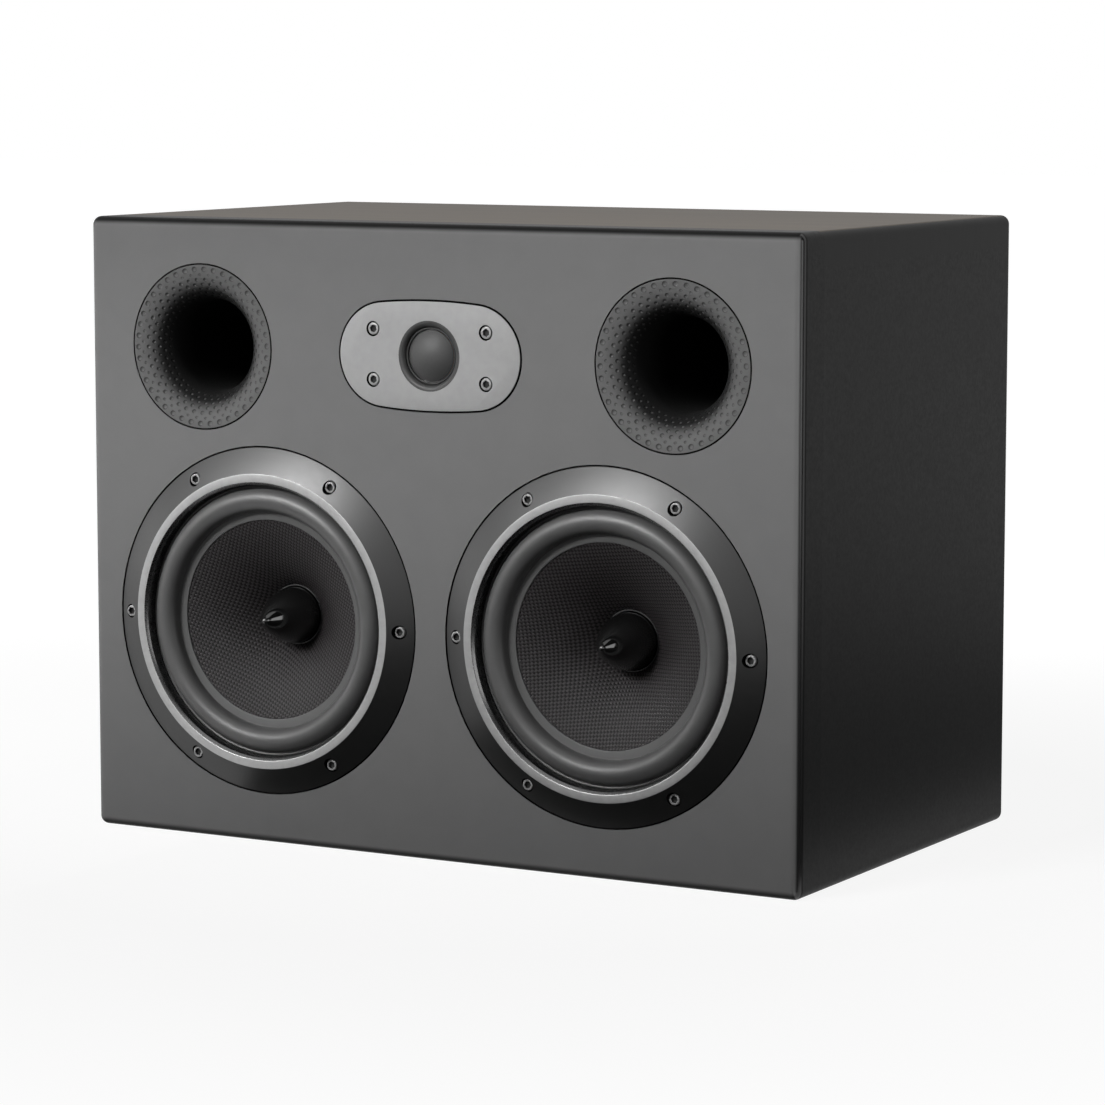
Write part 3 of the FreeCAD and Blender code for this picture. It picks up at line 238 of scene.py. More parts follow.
def finish(name, dark, light, scale, smoothest, roughest, bump=0.1, stretch=(1.0, 1.0, 1.0), **sockets):
    """A material whose colour, roughness and surface wander between two values; sockets holds the constants."""
    material = bpy.data.materials.new(name)
    material.use_nodes = True
    tree = material.node_tree
    surface = tree.nodes["Principled BSDF"]
    for label, value in sockets.items():
        surface.inputs[label.replace("_", " ")].default_value = value
    grain = add(tree, "ShaderNodeGroup", {"node_tree": SURFACE_GRAIN}, Dark=(*dark, 1.0), Light=(*light, 1.0),
                Scale=scale, Smoothest=smoothest, Roughest=roughest, Stretch=stretch)
    join(surface.inputs["Base Color"], grain.outputs["Colour"])
    join(surface.inputs["Roughness"], grain.outputs["Roughness"])
    relief = add(tree, "ShaderNodeBump", Height=grain.outputs["Height"], Strength=bump, Distance=BUMP_HEIGHT)
    join(surface.inputs["Normal"], relief.outputs["Normal"])
    return material


def grey(level):
    """A neutral colour."""
    return (level, level, level)


def darken(material, kept, deep):
    """Let a material go over to a deep colour where a mask of what is kept falls off."""
    tree = material.node_tree
    base = tree.nodes["Principled BSDF"].inputs["Base Color"]
    join(base, mixed(tree, kept, (*deep, 1.0), base.links[0].from_socket))
    return material


def ramp(tree, value, low, high):
    """A soft rise from nothing to one between two lengths in millimetres."""
    rise = add(tree, "ShaderNodeMapRange", {"interpolation_type": "SMOOTHSTEP"}, Value=value, From_Min=low * MM,
               From_Max=high * MM)
    return Term(rise.outputs["Result"])


def front_mask(tree, start, end):
    """The depth mask, with its two depths in millimetres."""
    fade = add(tree, "ShaderNodeGroup", {"node_tree": DEPTH_FADE}, Start=start * MM, End=end * MM)
    return Term(fade.outputs["Mask"])


def baffle_face():
    """Painted sheen: grey on the front, where the grey stands in for the lamp's reflection on black lacquer; black
    lacquer round its edge and on its sides; and painted shade, near black, down in the recesses.
    """
    # Painted sheen: this grey base colour stands in for the lamp's reflection on the front of the black lacquer.
    material = finish("baffle_face", grey(0.172), grey(0.180), 60.0, 0.42, 0.52, Specular_IOR_Level=0.08,
                      Coat_Roughness=0.22)
    tree = material.node_tree
    recess_depths, recess_insets = (0.1, 0.4), (6.0, 8.0)
    left_edge, right_edge, level_edges = (0.8, 2.2), (1.5, 2.9), (1.6, 4.8)
    coat_across, coat_depths = (-3.4, -2.8), (3.0, 4.0)
    low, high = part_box("front_baffle")
    x, y, z = axes(tree, shaded_point(tree))
    level = (z - low.z).math("MINIMUM", high.z - z)
    inset = (high.x - x.math("ABSOLUTE")).math("MINIMUM", level)
    # Painted shade: the recesses round the drivers, the plate and the ports go near black.
    recess = (1.0 - front_mask(tree, *recess_depths)) * ramp(tree, inset, *recess_insets)
    sides = ramp(tree, x - low.x, *left_edge) * ramp(tree, high.x - x, *right_edge)
    darken(material, sides * ramp(tree, level, *level_edges), grey(0.006))
    rounding = ramp(tree, x - high.x, *coat_across) * (1.0 - ramp(tree, y - FRONT, *coat_depths))
    join(tree.nodes["Principled BSDF"].inputs["Coat Weight"], rounding)
    return darken(material, 1.0 - recess, grey(0.002))


def top_reflection_face():
    """Black lacquer with a painted reflection on the upper side alone: faint brown streaks that stand in for warm
    surroundings mirrored in the satin top.
    """
    # Painted reflection: the brown streaks stand for the surroundings' reflection, painted into the top's colour.
    material = finish("top_panel_lacquer", (0.066, 0.050, 0.032), (0.086, 0.064, 0.040), 9.0, 0.46, 0.48,
                      bump=0.01, stretch=(0.35, 6.0, 1.0), Specular_IOR_Level=0.08)
    tree = material.node_tree
    skin, heights = 1.0 * MM, (0.2, 0.9)
    _, _, z = axes(tree, shaded_point(tree))
    return darken(material, ramp(tree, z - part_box("top_panel")[1].z + skin, *heights), grey(0.010))


def shade_dents(material, mouth=(0.4, 6.5), floors=(1.0, 15.0), floor_from=0.2, floor_rise=3.0, rim_rise=12.0,
                rim_fall=2.6, rim_shade=0.8):
    """Let a port go dark inward, partly the plastic's own darker colour and partly painted shade, the floors of its
    dents later than the rest as a painted highlight, with a painted shade rim round each dent.
    """
    tree = material.node_tree
    bowl = Term(add(tree, "ShaderNodeAttribute", {"attribute_name": "dent_bowl"}).outputs["Fac"])
    # Painted highlight: the dents' floors stay light deeper in than the ground round them.
    floor = ((bowl - floor_from) * floor_rise).math("MAXIMUM", 0.0).math("MINIMUM", 1.0)
    # Painted shade: a dark rim round each dent.
    rim = (bowl * rim_rise).math("MINIMUM", 1.0) * (1.0 - (bowl * rim_fall).math("MINIMUM", 1.0))
    light = front_mask(tree, *mouth).math("MAXIMUM", floor * front_mask(tree, *floors))
    darken(material, light, grey(0.012))
    darken(material, 1.0 - rim * rim_shade, grey(0.006))


FINISHES = {
    "cabinet_lacquer": finish("cabinet_lacquer", grey(0.009), grey(0.011), 60.0, 0.42, 0.52,
                              Specular_IOR_Level=0.08),
    "bare_board": finish("bare_board", (0.30, 0.20, 0.11), (0.38, 0.26, 0.15), 300.0, 0.8, 0.95),
    "damping_foam": finish("damping_foam", grey(0.02), grey(0.05), 400.0, 0.9, 1.0, bump=0.8),
    "port_plastic": finish("port_plastic", grey(0.125), grey(0.135), 90.0, 0.5, 0.62, Specular_IOR_Level=0.06),
    "trim_ring_metal": finish("trim_ring_gloss", grey(0.005), grey(0.007), 50.0, 0.34, 0.40, bump=0.02,
                              Specular_IOR_Level=0.62),
    "cast_frame": finish("cast_frame", grey(0.012), grey(0.02), 700.0, 0.5, 0.7),
    "surround_rubber": finish("surround_rubber", grey(0.078), grey(0.088), 120.0, 0.38, 0.46),
    "woven_cone": finish("cone_warp", (0.030, 0.027, 0.028), (0.042, 0.038, 0.040), 900.0, 0.35, 0.5,
                         Specular_IOR_Level=0.3),
    "copper_coil": finish("copper_coil", (0.55, 0.21, 0.09), (0.65, 0.27, 0.12), 300.0, 0.25, 0.4, Metallic=1.0),
    "spider_cloth": finish("spider_cloth", (0.42, 0.26, 0.07), (0.5, 0.33, 0.1), 900.0, 0.8, 0.95, bump=0.5),
    "plug_gloss": finish("plug_gloss", grey(0.004), grey(0.006), 40.0, 0.06, 0.09, bump=0.01,
                         Specular_IOR_Level=0.9),
    "motor_steel": finish("motor_steel", grey(0.36), grey(0.42), 200.0, 0.3, 0.45, Metallic=1.0),
    "ferrite": finish("ferrite", grey(0.016), grey(0.024), 500.0, 0.6, 0.8, bump=0.4),
    "screw_steel": finish("screw_steel", grey(0.25), grey(0.29), 400.0, 0.46, 0.56, Metallic=0.35),
    "faceplate_metal": finish("faceplate_metal", grey(0.335), grey(0.355), 220.0, 0.6, 0.7, Metallic=0.08,
                              Specular_IOR_Level=0.25),
    "dome_film": finish("dome_film", grey(0.048), grey(0.054), 500.0, 0.5, 0.58, Specular_IOR_Level=0.4),
    "tray_plastic": finish("tray_plastic", grey(0.008), grey(0.012), 500.0, 0.45, 0.6, bump=0.3),
    "post_metal": finish("post_metal", (0.66, 0.42, 0.12), (0.72, 0.48, 0.16), 300.0, 0.18, 0.3, Metallic=1.0),
    "knob_red": finish("knob_red", (0.26, 0.006, 0.006), (0.32, 0.01, 0.01), 200.0, 0.22, 0.35),
    "knob_black": finish("knob_black", grey(0.006), grey(0.009), 200.0, 0.22, 0.35),
    "circuit_board": finish("circuit_board", (0.008, 0.06, 0.02), (0.012, 0.075, 0.028), 300.0, 0.3, 0.45),
    "capacitor_film": finish("capacitor_film", (0.5, 0.33, 0.02), (0.58, 0.4, 0.04), 100.0, 0.2, 0.35),
    "resistor_ceramic": finish("resistor_ceramic", grey(0.66), grey(0.74), 600.0, 0.7, 0.85, bump=0.3),
    "cable_jacket": finish("cable_jacket", grey(0.012), grey(0.018), 300.0, 0.45, 0.6),
}

shade_dents(FINISHES["port_plastic"])
GAP_SHADE = finish("gap_shade", grey(0.002), grey(0.003), 200.0, 0.9, 1.0, Specular_IOR_Level=0.05)
SPECIAL = {"front_baffle": baffle_face(), "top_panel": top_reflection_face()}

for row in frame["record"]["subparts"]:
    mesh = frame["nodes"][row["node"]].data
    mesh.materials.clear()
    mesh.materials.append(SPECIAL.get(row["node"], FINISHES[row["material_slot"]]))

# Shapes

FACET = math.radians(32.0)
RECESS_SEGMENTS = 48
# The middle of a rounded edge, as a share of how far the rounding reaches
EDGE_MIDDLE = 0.3


def placed(name, data):
    """A new object in the scene."""
    obj = bpy.data.objects.new(name, data)
    bpy.context.scene.collection.objects.link(obj)
    return obj


def new_piece(name, form, *materials):
    """An object from a finished form, shaded smooth up to a crease."""
    bmesh.ops.recalc_face_normals(form, faces=form.faces)
    mesh = bpy.data.meshes.new(name)
    form.to_mesh(mesh)
    form.free()
    for material in materials:
        mesh.materials.append(material)
    mesh.shade_smooth()
    mesh.set_sharp_from_angle(angle=FACET)
    return placed(name, mesh)


def plain_mesh(piece):
    """Keep what a piece's modifiers make as its own mesh."""
    bpy.context.view_layer.update()
    solved = piece.evaluated_get(bpy.context.evaluated_depsgraph_get())
    mesh = bpy.data.meshes.new_from_object(solved)
    piece.modifiers.clear()
    piece.data = mesh
    mesh.name = piece.name


def settle(piece, body, slot, *nodes):
    """Ride a piece on a body and let it stand for CAD nodes, which it hides; the slot is not used."""
    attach(piece, body)
    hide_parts(*nodes)


def arc(centre, start, end, steps):
    """Points of an arc about a centre from one point to another, the short way round."""
    centre, start, end = Vector(centre), Vector(start) - Vector(centre), Vector(end) - Vector(centre)
    opening = start.angle_signed(end)
    radius = start.length
    first = math.atan2(start.y, start.x)
    turns = [first - opening * step / steps for step in range(steps + 1)]
    return [(centre.x + radius * math.cos(turn), centre.y + radius * math.sin(turn)) for turn in turns]


def crest_arc(centre, start, radius, end, steps):
    """Points of an arc over the front of a roll, in two halves because it can be half a turn."""
    crest = (centre[0], centre[1] - radius)
    return arc(centre, start, crest, steps) + arc(centre, crest, end, steps)[1:]


def cap_radius(reach, rise):
    """The radius of a round cap that reaches so far from its axis and rises so high."""
    return (reach ** 2 + rise ** 2) / (2 * rise)


def arc_centre(start, end, radius, side):
    """The centre of an arc of a radius between two points, on one side of its chord."""
    start, end = Vector(start), Vector(end)
    chord = end - start
    rise = math.sqrt(radius ** 2 - chord.length_squared / 4)
    return (start + end) / 2 + side * rise * Vector((-chord.y, chord.x)).normalized()


def rounded(profile, radius, steps=4):
    """A closed profile of (radius, depth, zone) points with its corners rounded."""
    softened = []
    for index, (across, depth, zone) in enumerate(profile):
        corner = Vector((across, depth))
        before, after = (Vector(profile[place % len(profile)][:2]) for place in (index - 1, index + 1))
        entry, leave = (corner + (other - corner).normalized() * min(radius, (other - corner).length * 0.4)
                        for other in (before, after))
        for step in range(steps + 1):
            share = step / steps
            point = entry.lerp(corner, share).lerp(corner.lerp(leave, share), share)
            softened.append((*point, profile[index - 1][2] if share < 0.5 else zone))
    return softened


def zoned(points, zone=0):
    """Profile points that all start the same zone."""
    return [(*point[:2], zone) for point in points]


def band(form, ring, after, zone):
    """The faces between two rings of points, of which one can be a single point."""
    count = max(len(ring), len(after))
    for step in range(count if count > 1 else 0):
        onward = (step + 1) % count
        corners = (ring[step % len(ring)], ring[onward % len(ring)],
                   after[onward % len(after)], after[step % len(after)])
        form.faces.new(list(dict.fromkeys(corners))).material_index = zone


def lathe(form, profile, centre, segments, closed=True):
    """Turn (radius, depth, zone) points in millimetres round the axis through a centre; a zone is a material."""
    rings = []
    for radius, depth, _ in profile:
        count = segments if radius > 1e-6 else 1
        turns = [2 * math.pi * step / count for step in range(count)]
        rings.append([form.verts.new(centre + MM * Vector((radius * math.cos(turn), depth, radius * math.sin(turn))))
                      for turn in turns])
    for index in range(len(rings) if closed else len(rings) - 1):
        band(form, rings[index], rings[(index + 1) % len(rings)], profile[index][2])


def turned(name, profile, centre, *materials, segments=192):
    """A piece turned from a closed profile."""
    form = bmesh.new()
    lathe(form, profile, centre, segments)
    return new_piece(name, form, *materials)


def drill(piece, places, radius, front, back):
    """Cut round recesses into a piece, between two depths."""
    form = bmesh.new()
    profile = zoned([(0.0, front), (radius, front), (radius, back), (0.0, back)])
    for place in places:
        lathe(form, profile, place, RECESS_SEGMENTS)
    # Painted shade: the recess walls take the cutter's near-black gap shade.
    cutter = new_piece("recess_cutter", form, GAP_SHADE)
    recess = piece.modifiers.new("recesses", "BOOLEAN")
    recess.operation, recess.solver, recess.material_mode = "DIFFERENCE", "EXACT", "TRANSFER"
    recess.object = cutter
    plain_mesh(piece)
    bpy.data.objects.remove(cutter)
    piece.data.set_sharp_from_angle(angle=FACET)


def grow(piece, tree, **sizes):
    """Run a geometry tree on a piece with its named inputs set, and keep the result as a plain mesh."""
    modifier = piece.modifiers.new(tree.name, "NODES")
    modifier.node_group = tree
    for item in tree.interface.items_tree:
        label = item.name.replace(" ", "_")
        if item.in_out == "INPUT" and label in sizes:
            modifier[item.identifier] = sizes[label]
    plain_mesh(piece)


def outward(piece):
    """Turn the faces of a closed piece outward."""
    form = bmesh.new()
    form.from_mesh(piece.data)
    bmesh.ops.recalc_face_normals(form, faces=form.faces)
    form.to_mesh(piece.data)
    form.free()


# Screws

# Painted shade: the hex sockets are near black for the shade down in them.
SOCKET_SHADE = finish("screw_socket", grey(0.004), grey(0.008), 300.0, 0.6, 0.8)
HEAD_EDGE, SOCKET_CHAMFER, SOCKET_POINT = 0.35, 0.25, 0.3
MOST_SCREW_TURN = math.radians(60.0)


def screw_head(size):
    """One socket-head screw that stands on its seat at the origin and faces the front."""
    form = bmesh.new()
    corners, steps, socket_from = 6, 36, 6
    head, top, socket, floor = size["head"], -size["height"], size["socket"], size["hollow"] - size["height"]
    middle = HEAD_EDGE * EDGE_MIDDLE
    loops = [(0.0, 0.0, False), (head, 0.0, False), (head, top + HEAD_EDGE, False),
             (head - middle, top + middle, False), (head - HEAD_EDGE, top, False),
             (socket + SOCKET_CHAMFER, top, True), (socket, top + SOCKET_CHAMFER, True), (socket, floor, True),
             (0.0, floor + SOCKET_POINT, False)]
    rings = []
    for radius, depth, six_sided in loops:
        ring = []
        for step in range(steps if radius else 1):
            turn = 2 * math.pi * step / steps
            across = (turn + math.pi / corners) % (2 * math.pi / corners) - math.pi / corners
            reach = radius * math.cos(math.pi / corners) / math.cos(across) if six_sided else radius
            ring.append(form.verts.new(MM * Vector((reach * math.cos(turn), depth, reach * math.sin(turn)))))
        rings.append(ring)
    for place, (ring, after) in enumerate(zip(rings, rings[1:])):
        # Painted shade: the socket's faces take the second, near-black material.
        band(form, ring, after, int(place >= socket_from))
    return new_piece("screw_pattern", form, FINISHES["screw_steel"], SOCKET_SHADE)


def screw_tree(pattern, seed):
    """Sets a copy of the pattern on every point, each turned its own way."""
    tree, given, out = new_tree("screw_places", "GeometryNodeTree",
                                {"Geometry": "Geometry", "Most Turn": "Float", "Head": "Material",
                                 "Socket": "Material"},
                                {"Geometry": "Geometry"})
    shape = add(tree, "GeometryNodeObjectInfo", Object=pattern)
    turn = add(tree, "FunctionNodeRandomValue", Seed=seed)
    join(turn.inputs[3], given["Most Turn"])
    copies = add(tree, "GeometryNodeInstanceOnPoints", Points=given["Geometry"],
                 Instance=shape.outputs["Geometry"], Rotation=vector(tree, 0.0, turn.outputs[1], 0.0))
    real = add(tree, "GeometryNodeRealizeInstances", Geometry=copies.outputs["Instances"])
    zone = Term(add(tree, "GeometryNodeInputMaterialIndex").outputs["Material Index"])
    head = add(tree, "GeometryNodeSetMaterial", Geometry=real.outputs["Geometry"], Material=given["Head"],
               Selection=zone.math("LESS_THAN", 0.5))
    socket = add(tree, "GeometryNodeSetMaterial", Geometry=head.outputs["Geometry"], Material=given["Socket"],
                 Selection=zone.math("GREATER_THAN", 0.5))
    join(out.inputs["Geometry"], socket.outputs["Geometry"])
    return tree


def screws(name, places, size, seed, *nodes):
    """A group of screws in their recesses."""
    pattern = screw_head(size)
    mesh = bpy.data.meshes.new(name)
    mesh.from_pydata([place + Vector((0, size["seat"] * MM, 0)) for place in places], [], [])
    piece = placed(name, mesh)
    grow(piece, screw_tree(pattern, seed), Most_Turn=MOST_SCREW_TURN, Head=FINISHES["screw_steel"],
         Socket=SOCKET_SHADE)
    bpy.data.objects.remove(pattern)
    settle(piece, "root", "screw_steel", *nodes)


# Bass drivers

RING_BAND = finish("trim_ring_band", grey(0.33), grey(0.37), 300.0, 0.38, 0.5, Metallic=1.0)
RING_WALL = finish("trim_ring_wall", grey(0.15), grey(0.17), 200.0, 0.24, 0.32, Metallic=1.0)
ON_SLOPE, ON_BAND, ON_WALL, IN_GAP = range(4)
# Painted shade: the outer wall and the outer chamfer, zone IN_GAP, take the near-black gap shade, which widens the
# dark line round the ring.
RING_PROFILE = [(97.8, 0.8, IN_GAP), (97.4, 0.17, ON_SLOPE), (83.0, -6.2, ON_BAND), (78.4, -6.2, ON_WALL),
                (76.9, -4.4, ON_WALL), (76.6, 2.0, ON_WALL), (79.7, 2.0, ON_WALL), (79.7, 3.0, ON_WALL),
                (97.8, 3.0, IN_GAP)]
RING_EDGE, RING_DRILL_FROM = 0.35, -8.0
SURROUND_RIDGE = [(76.6, 2.0), (76.3, 1.45), (75.7, 1.25), (75.2, 1.5), (74.95, 2.0)]
LIP_START = [(0.0, -0.5), (-0.15, -0.12), (-0.6, 0.0)]
LIP_END = [(0.4, 0.0), (0.1, 0.12), (0.0, 0.4)]
CLOTH_BACK = finish("cone_backing", grey(0.003), grey(0.005), 900.0, 0.6, 0.8)
WEFT = finish("cone_weft", (0.006, 0.005, 0.005), (0.010, 0.009, 0.009), 900.0, 0.4, 0.55, Specular_IOR_Level=0.2)
THREAD_PITCH, THREAD_WIDTH, THREAD_WAVE, THREAD_ARCH, THREAD_LIFT = 1.40, 1.16, 0.24, 0.24, 0.34
FORMER_FILM = finish("coil_former", grey(0.02), grey(0.03), 200.0, 0.35, 0.5)
WEAVE_TURN = {"left": math.radians(22.5), "right": math.radians(51.0)}


def ring_places(centre):
    """Where the six screws of a trim ring stand."""
    turns = [2 * math.pi * step / SCREWS_PER_RING for step in range(SCREWS_PER_RING)]
    return [centre + MM * SCREW_CIRCLE * Vector((math.cos(turn), 0.0, math.sin(turn))) for turn in turns]


def trim_ring(side, centre):
    """The conical ring round a cone, with a flat band at its crest and six screw recesses."""
    piece = turned(f"{side}_conical_trim_ring", rounded(RING_PROFILE, RING_EDGE), centre,
                   FINISHES["trim_ring_metal"], RING_BAND, RING_WALL, GAP_SHADE, segments=240)
    drill(piece, ring_places(centre), RING_SCREW["recess"], RING_DRILL_FROM, RING_SCREW["seat"])
    settle(piece, "root", "trim_ring_metal", f"{side}_woofer_trim_ring")


def radial_blend(piece, body, centre, fixed, moving):
    """Bend a soft ring between the frame and a diaphragm: still beyond one radius, carried within the other."""
    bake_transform(piece, "root", body, centre + MM * Vector((fixed, 0, 0)), centre + MM * Vector((moving, 0, 0)))
    weights = piece.data.attributes["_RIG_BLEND"]
    for point, weight in zip(piece.data.vertices, weights.data):
        reach = math.hypot(point.co.x - centre.x, point.co.z - centre.z) / MM
        share = min(max((fixed - reach) / (fixed - moving), 0.0), 1.0)
        weight.value = share * share * (3 - 2 * share)


def surround(side, centre):
    """The half-roll rubber ring between the basket and the cone."""
    middle, depth, outer, inner = ROLL_MIDDLE, ROLL_DEPTH, ROLL_RADIUS, ROLL_RADIUS - ROLL_WALL
    start = middle + math.sqrt(outer ** 2 - (depth - LANDING_FRONT) ** 2)
    roll = crest_arc((middle, depth), (start, LANDING_FRONT), outer, (middle - outer, depth), 20)
    under = crest_arc((middle, depth), (middle - inner, depth), inner, (middle + inner, depth), 12)
    lip = [(radius + across, LIP_FRONT + deep)
           for radius, points in ((middle - outer, LIP_START), (LIP_INNER, LIP_END)) for across, deep in points]
    lip += [(LIP_INNER, CONE_BEND[1]), (middle - inner, CONE_BEND[1])]
    profile = [(LANDING_RADIUS, LANDING_FRONT)] + SURROUND_RIDGE + roll + lip + under + [(LANDING_RADIUS, depth)]
    piece = turned(f"{side}_half_roll_surround", zoned(profile), centre, FINISHES["surround_rubber"], segments=224)
    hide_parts(f"{side}_woofer_surround")
    radial_blend(piece, f"{side}_diaphragm", centre, middle + outer, middle - outer)


def weave_tree():
    """Two families of threads that pass over and under each other, laid on a cone's curved front."""
    tree, given, out = new_tree(
        "woven_threads", "GeometryNodeTree",
        {"Geometry": "Geometry", "Centre": "Vector", "Turn": "Float", "Pitch": "Float", "Width": "Float",
         "Wave": "Float", "Arch": "Float", "Lift": "Float", "Neck": "Float", "Rim": "Float",
         "Curve": "Float", "Curve Radius": "Float", "Curve Depth": "Float", "Warp": "Material",
         "Weft": "Material"},
        {"Geometry": "Geometry"})
    pitch, turn = given["Pitch"], given["Turn"]
    half = (given["Rim"] / pitch).math("CEIL")
    count, bends = half * 2.0 + 1.0, half * 4.0 + 1.0
    families = []
    for over in (1.0, -1.0):
        strip = add(tree, "GeometryNodeMeshGrid", Size_X=half * pitch * 2.0, Size_Y=given["Width"],
                    Vertices_X=bends, Vertices_Y=3)
        rows = add(tree, "GeometryNodeMeshLine", Count=count, Start_Location=vector(tree, 0.0, -half * pitch, 0.0),
                   Offset=vector(tree, 0.0, pitch, 0.0))
        laid = add(tree, "GeometryNodeInstanceOnPoints", Points=rows.outputs["Mesh"],
                   Instance=strip.outputs["Mesh"])
        flat = add(tree, "GeometryNodeRealizeInstances", Geometry=laid.outputs["Instances"])
        along, across, _ = axes(tree, add(tree, "GeometryNodeInputPosition").outputs["Position"])
        thread = (across / pitch + 0.5).math("FLOOR")
        off_middle = (across - thread * pitch) / given["Width"] * 2.0
        swing = ((along / pitch + thread) * math.pi).math("COSINE") * given["Wave"] * over
        height = swing - off_middle * off_middle * given["Arch"] + given["Lift"]
        one, two = (along, across) if over > 0 else (across, along)
        x = one * turn.math("COSINE") - two * turn.math("SINE")
        z = one * turn.math("SINE") + two * turn.math("COSINE")
        radius = (x * x + z * z).math("SQRT")
        beyond = radius.math("GREATER_THAN", given["Rim"]).math("MAXIMUM", radius.math("LESS_THAN", given["Neck"]))
        kept = add(tree, "GeometryNodeDeleteGeometry", {"domain": "FACE"}, Geometry=flat.outputs["Geometry"],
                   Selection=beyond)
        slope = (radius - given["Curve"]) / given["Curve Radius"]
        reach = given["Curve Radius"] + height
        spread = (given["Curve"] + reach * slope) / radius
        depth = given["Curve Depth"] - reach * (1.0 - slope * slope).math("SQRT")
        place = moved(tree, given["Centre"], x * spread, depth, z * spread)
        shaped = add(tree, "GeometryNodeSetPosition", Geometry=kept.outputs["Geometry"], Position=place)
        if over < 0:
            shaped = add(tree, "GeometryNodeFlipFaces", Mesh=shaped.outputs["Geometry"])
        smooth = add(tree, "GeometryNodeSetShadeSmooth", Geometry=shaped.outputs[0])
        coloured = add(tree, "GeometryNodeSetMaterial", Geometry=smooth.outputs["Geometry"],
                       Material=given["Warp" if over > 0 else "Weft"])
        families.append(coloured.outputs["Geometry"])
    cloth = add(tree, "GeometryNodeJoinGeometry")
    for part in (given["Geometry"], *families):
        join(cloth.inputs["Geometry"], part)
    join(out.inputs["Geometry"], cloth.outputs["Geometry"])
    return tree


WOVEN_THREADS = weave_tree()


def woven_cone(side, centre):
    """The cone: a dark backing with a coated basket weave on its front."""
    middle = arc_centre(CONE_NECK, CONE_BEND, CONE_CURVE, 1)
    front = arc(middle, CONE_BEND, CONE_NECK, 24)
    back = [(across - CONE_THICKNESS * (across - middle.x) / CONE_CURVE,
             depth - CONE_THICKNESS * (depth - middle.y) / CONE_CURVE) for across, depth in reversed(front)]
    rim = [(CONE_RIM, CONE_BEND[1] + CONE_THICKNESS), (CONE_RIM, CONE_BEND[1])]
    piece = turned(f"{side}_woven_cone", zoned(front + back + rim), centre, CLOTH_BACK)
    grow(piece, WOVEN_THREADS, Centre=centre, Turn=WEAVE_TURN[side], Pitch=THREAD_PITCH * MM,
         Width=THREAD_WIDTH * MM, Wave=THREAD_WAVE * MM, Arch=THREAD_ARCH * MM, Lift=THREAD_LIFT * MM,
         Neck=CONE_NECK[0] * MM, Rim=CONE_BEND[0] * MM, Curve=middle.x * MM, Curve_Radius=CONE_CURVE * MM,
         Curve_Depth=middle.y * MM, Warp=FINISHES["woven_cone"], Weft=WEFT)
    settle(piece, f"{side}_diaphragm", "woven_cone", f"{side}_woofer_cone")


def depth_of(y):
    """A place along Y as a depth behind the baffle's front, in millimetres."""
    return (y - FRONT) / MM


def voice_coil(side, centre):
    """The coil on its dark former, wound where it stands in the magnet's gap."""
    node = f"{side}_woofer_voice_coil"
    low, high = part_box(node)
    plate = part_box(f"{side}_woofer_top_plate")
    top, foot, winding = depth_of(low.y), depth_of(high.y), (high.x - low.x) / 2 / MM
    start = depth_of(plate[0].y + plate[1].y - high.y)
    inner, outer = FORMER_RADIUS, FORMER_RADIUS + FORMER_WALL
    profile = [(inner, top, 0), (outer, top, 0), (outer, start, 1), (winding, start, 1), (winding, foot, 1),
               (outer, foot, 0), (inner, foot, 0)]
    piece = turned(f"{side}_voice_coil", profile, centre, FORMER_FILM, FINISHES["copper_coil"], segments=96)
    settle(piece, f"{side}_diaphragm", "copper_coil", node)


def bullet_plug(side, centre):
    """The fixed gloss plug in the middle of a cone."""
    nose_middle = (0.0, PLUG_TIP + cap_radius(PLUG_NOSE[0], PLUG_NOSE[1] - PLUG_TIP))
    side_middle = arc_centre(PLUG_NOSE, PLUG_SHOULDER, PLUG_CURVE, 1)
    profile = arc(nose_middle, (0.0, PLUG_TIP), PLUG_NOSE, 16)
    profile += arc(side_middle, PLUG_NOSE, PLUG_SHOULDER, 24)[1:] + [(PLUG_SHOULDER[0], PLUG_FOOT), (0.0, PLUG_FOOT)]
    profile[0] = (0.0, PLUG_TIP)
    piece = turned(f"{side}_bullet_plug", zoned(profile), centre, FINISHES["plug_gloss"], segments=96)
    settle(piece, "root", "plug_gloss", f"{side}_woofer_phase_plug")


for order, side in enumerate(("left", "right")):
    centre = on_front(f"{side}_woofer_trim_ring")
    trim_ring(side, centre)
    screws(f"{side}_ring_screws", ring_places(centre), RING_SCREW, order + 1, f"{side}_woofer_screws")
    surround(side, centre)
    woven_cone(side, centre)
    voice_coil(side, centre)
    bullet_plug(side, centre)

# Treble driver

SMALL_ROLL = finish("small_roll_film", grey(0.022), grey(0.028), 400.0, 0.5, 0.6, Specular_IOR_Level=0.3)
WELL_DARK = finish("treble_well", grey(0.036), grey(0.044), 300.0, 0.4, 0.5, Specular_IOR_Level=0.35)
PLATE_EDGE, PLATE_DRILL_FROM, WELL_DRILL_TO = 0.35, -4.0, 6.0
WELL_CLEARANCE, WELL_SETBACK = 0.05, 0.1
END_STEPS, SIDE_STEPS = 32, 12


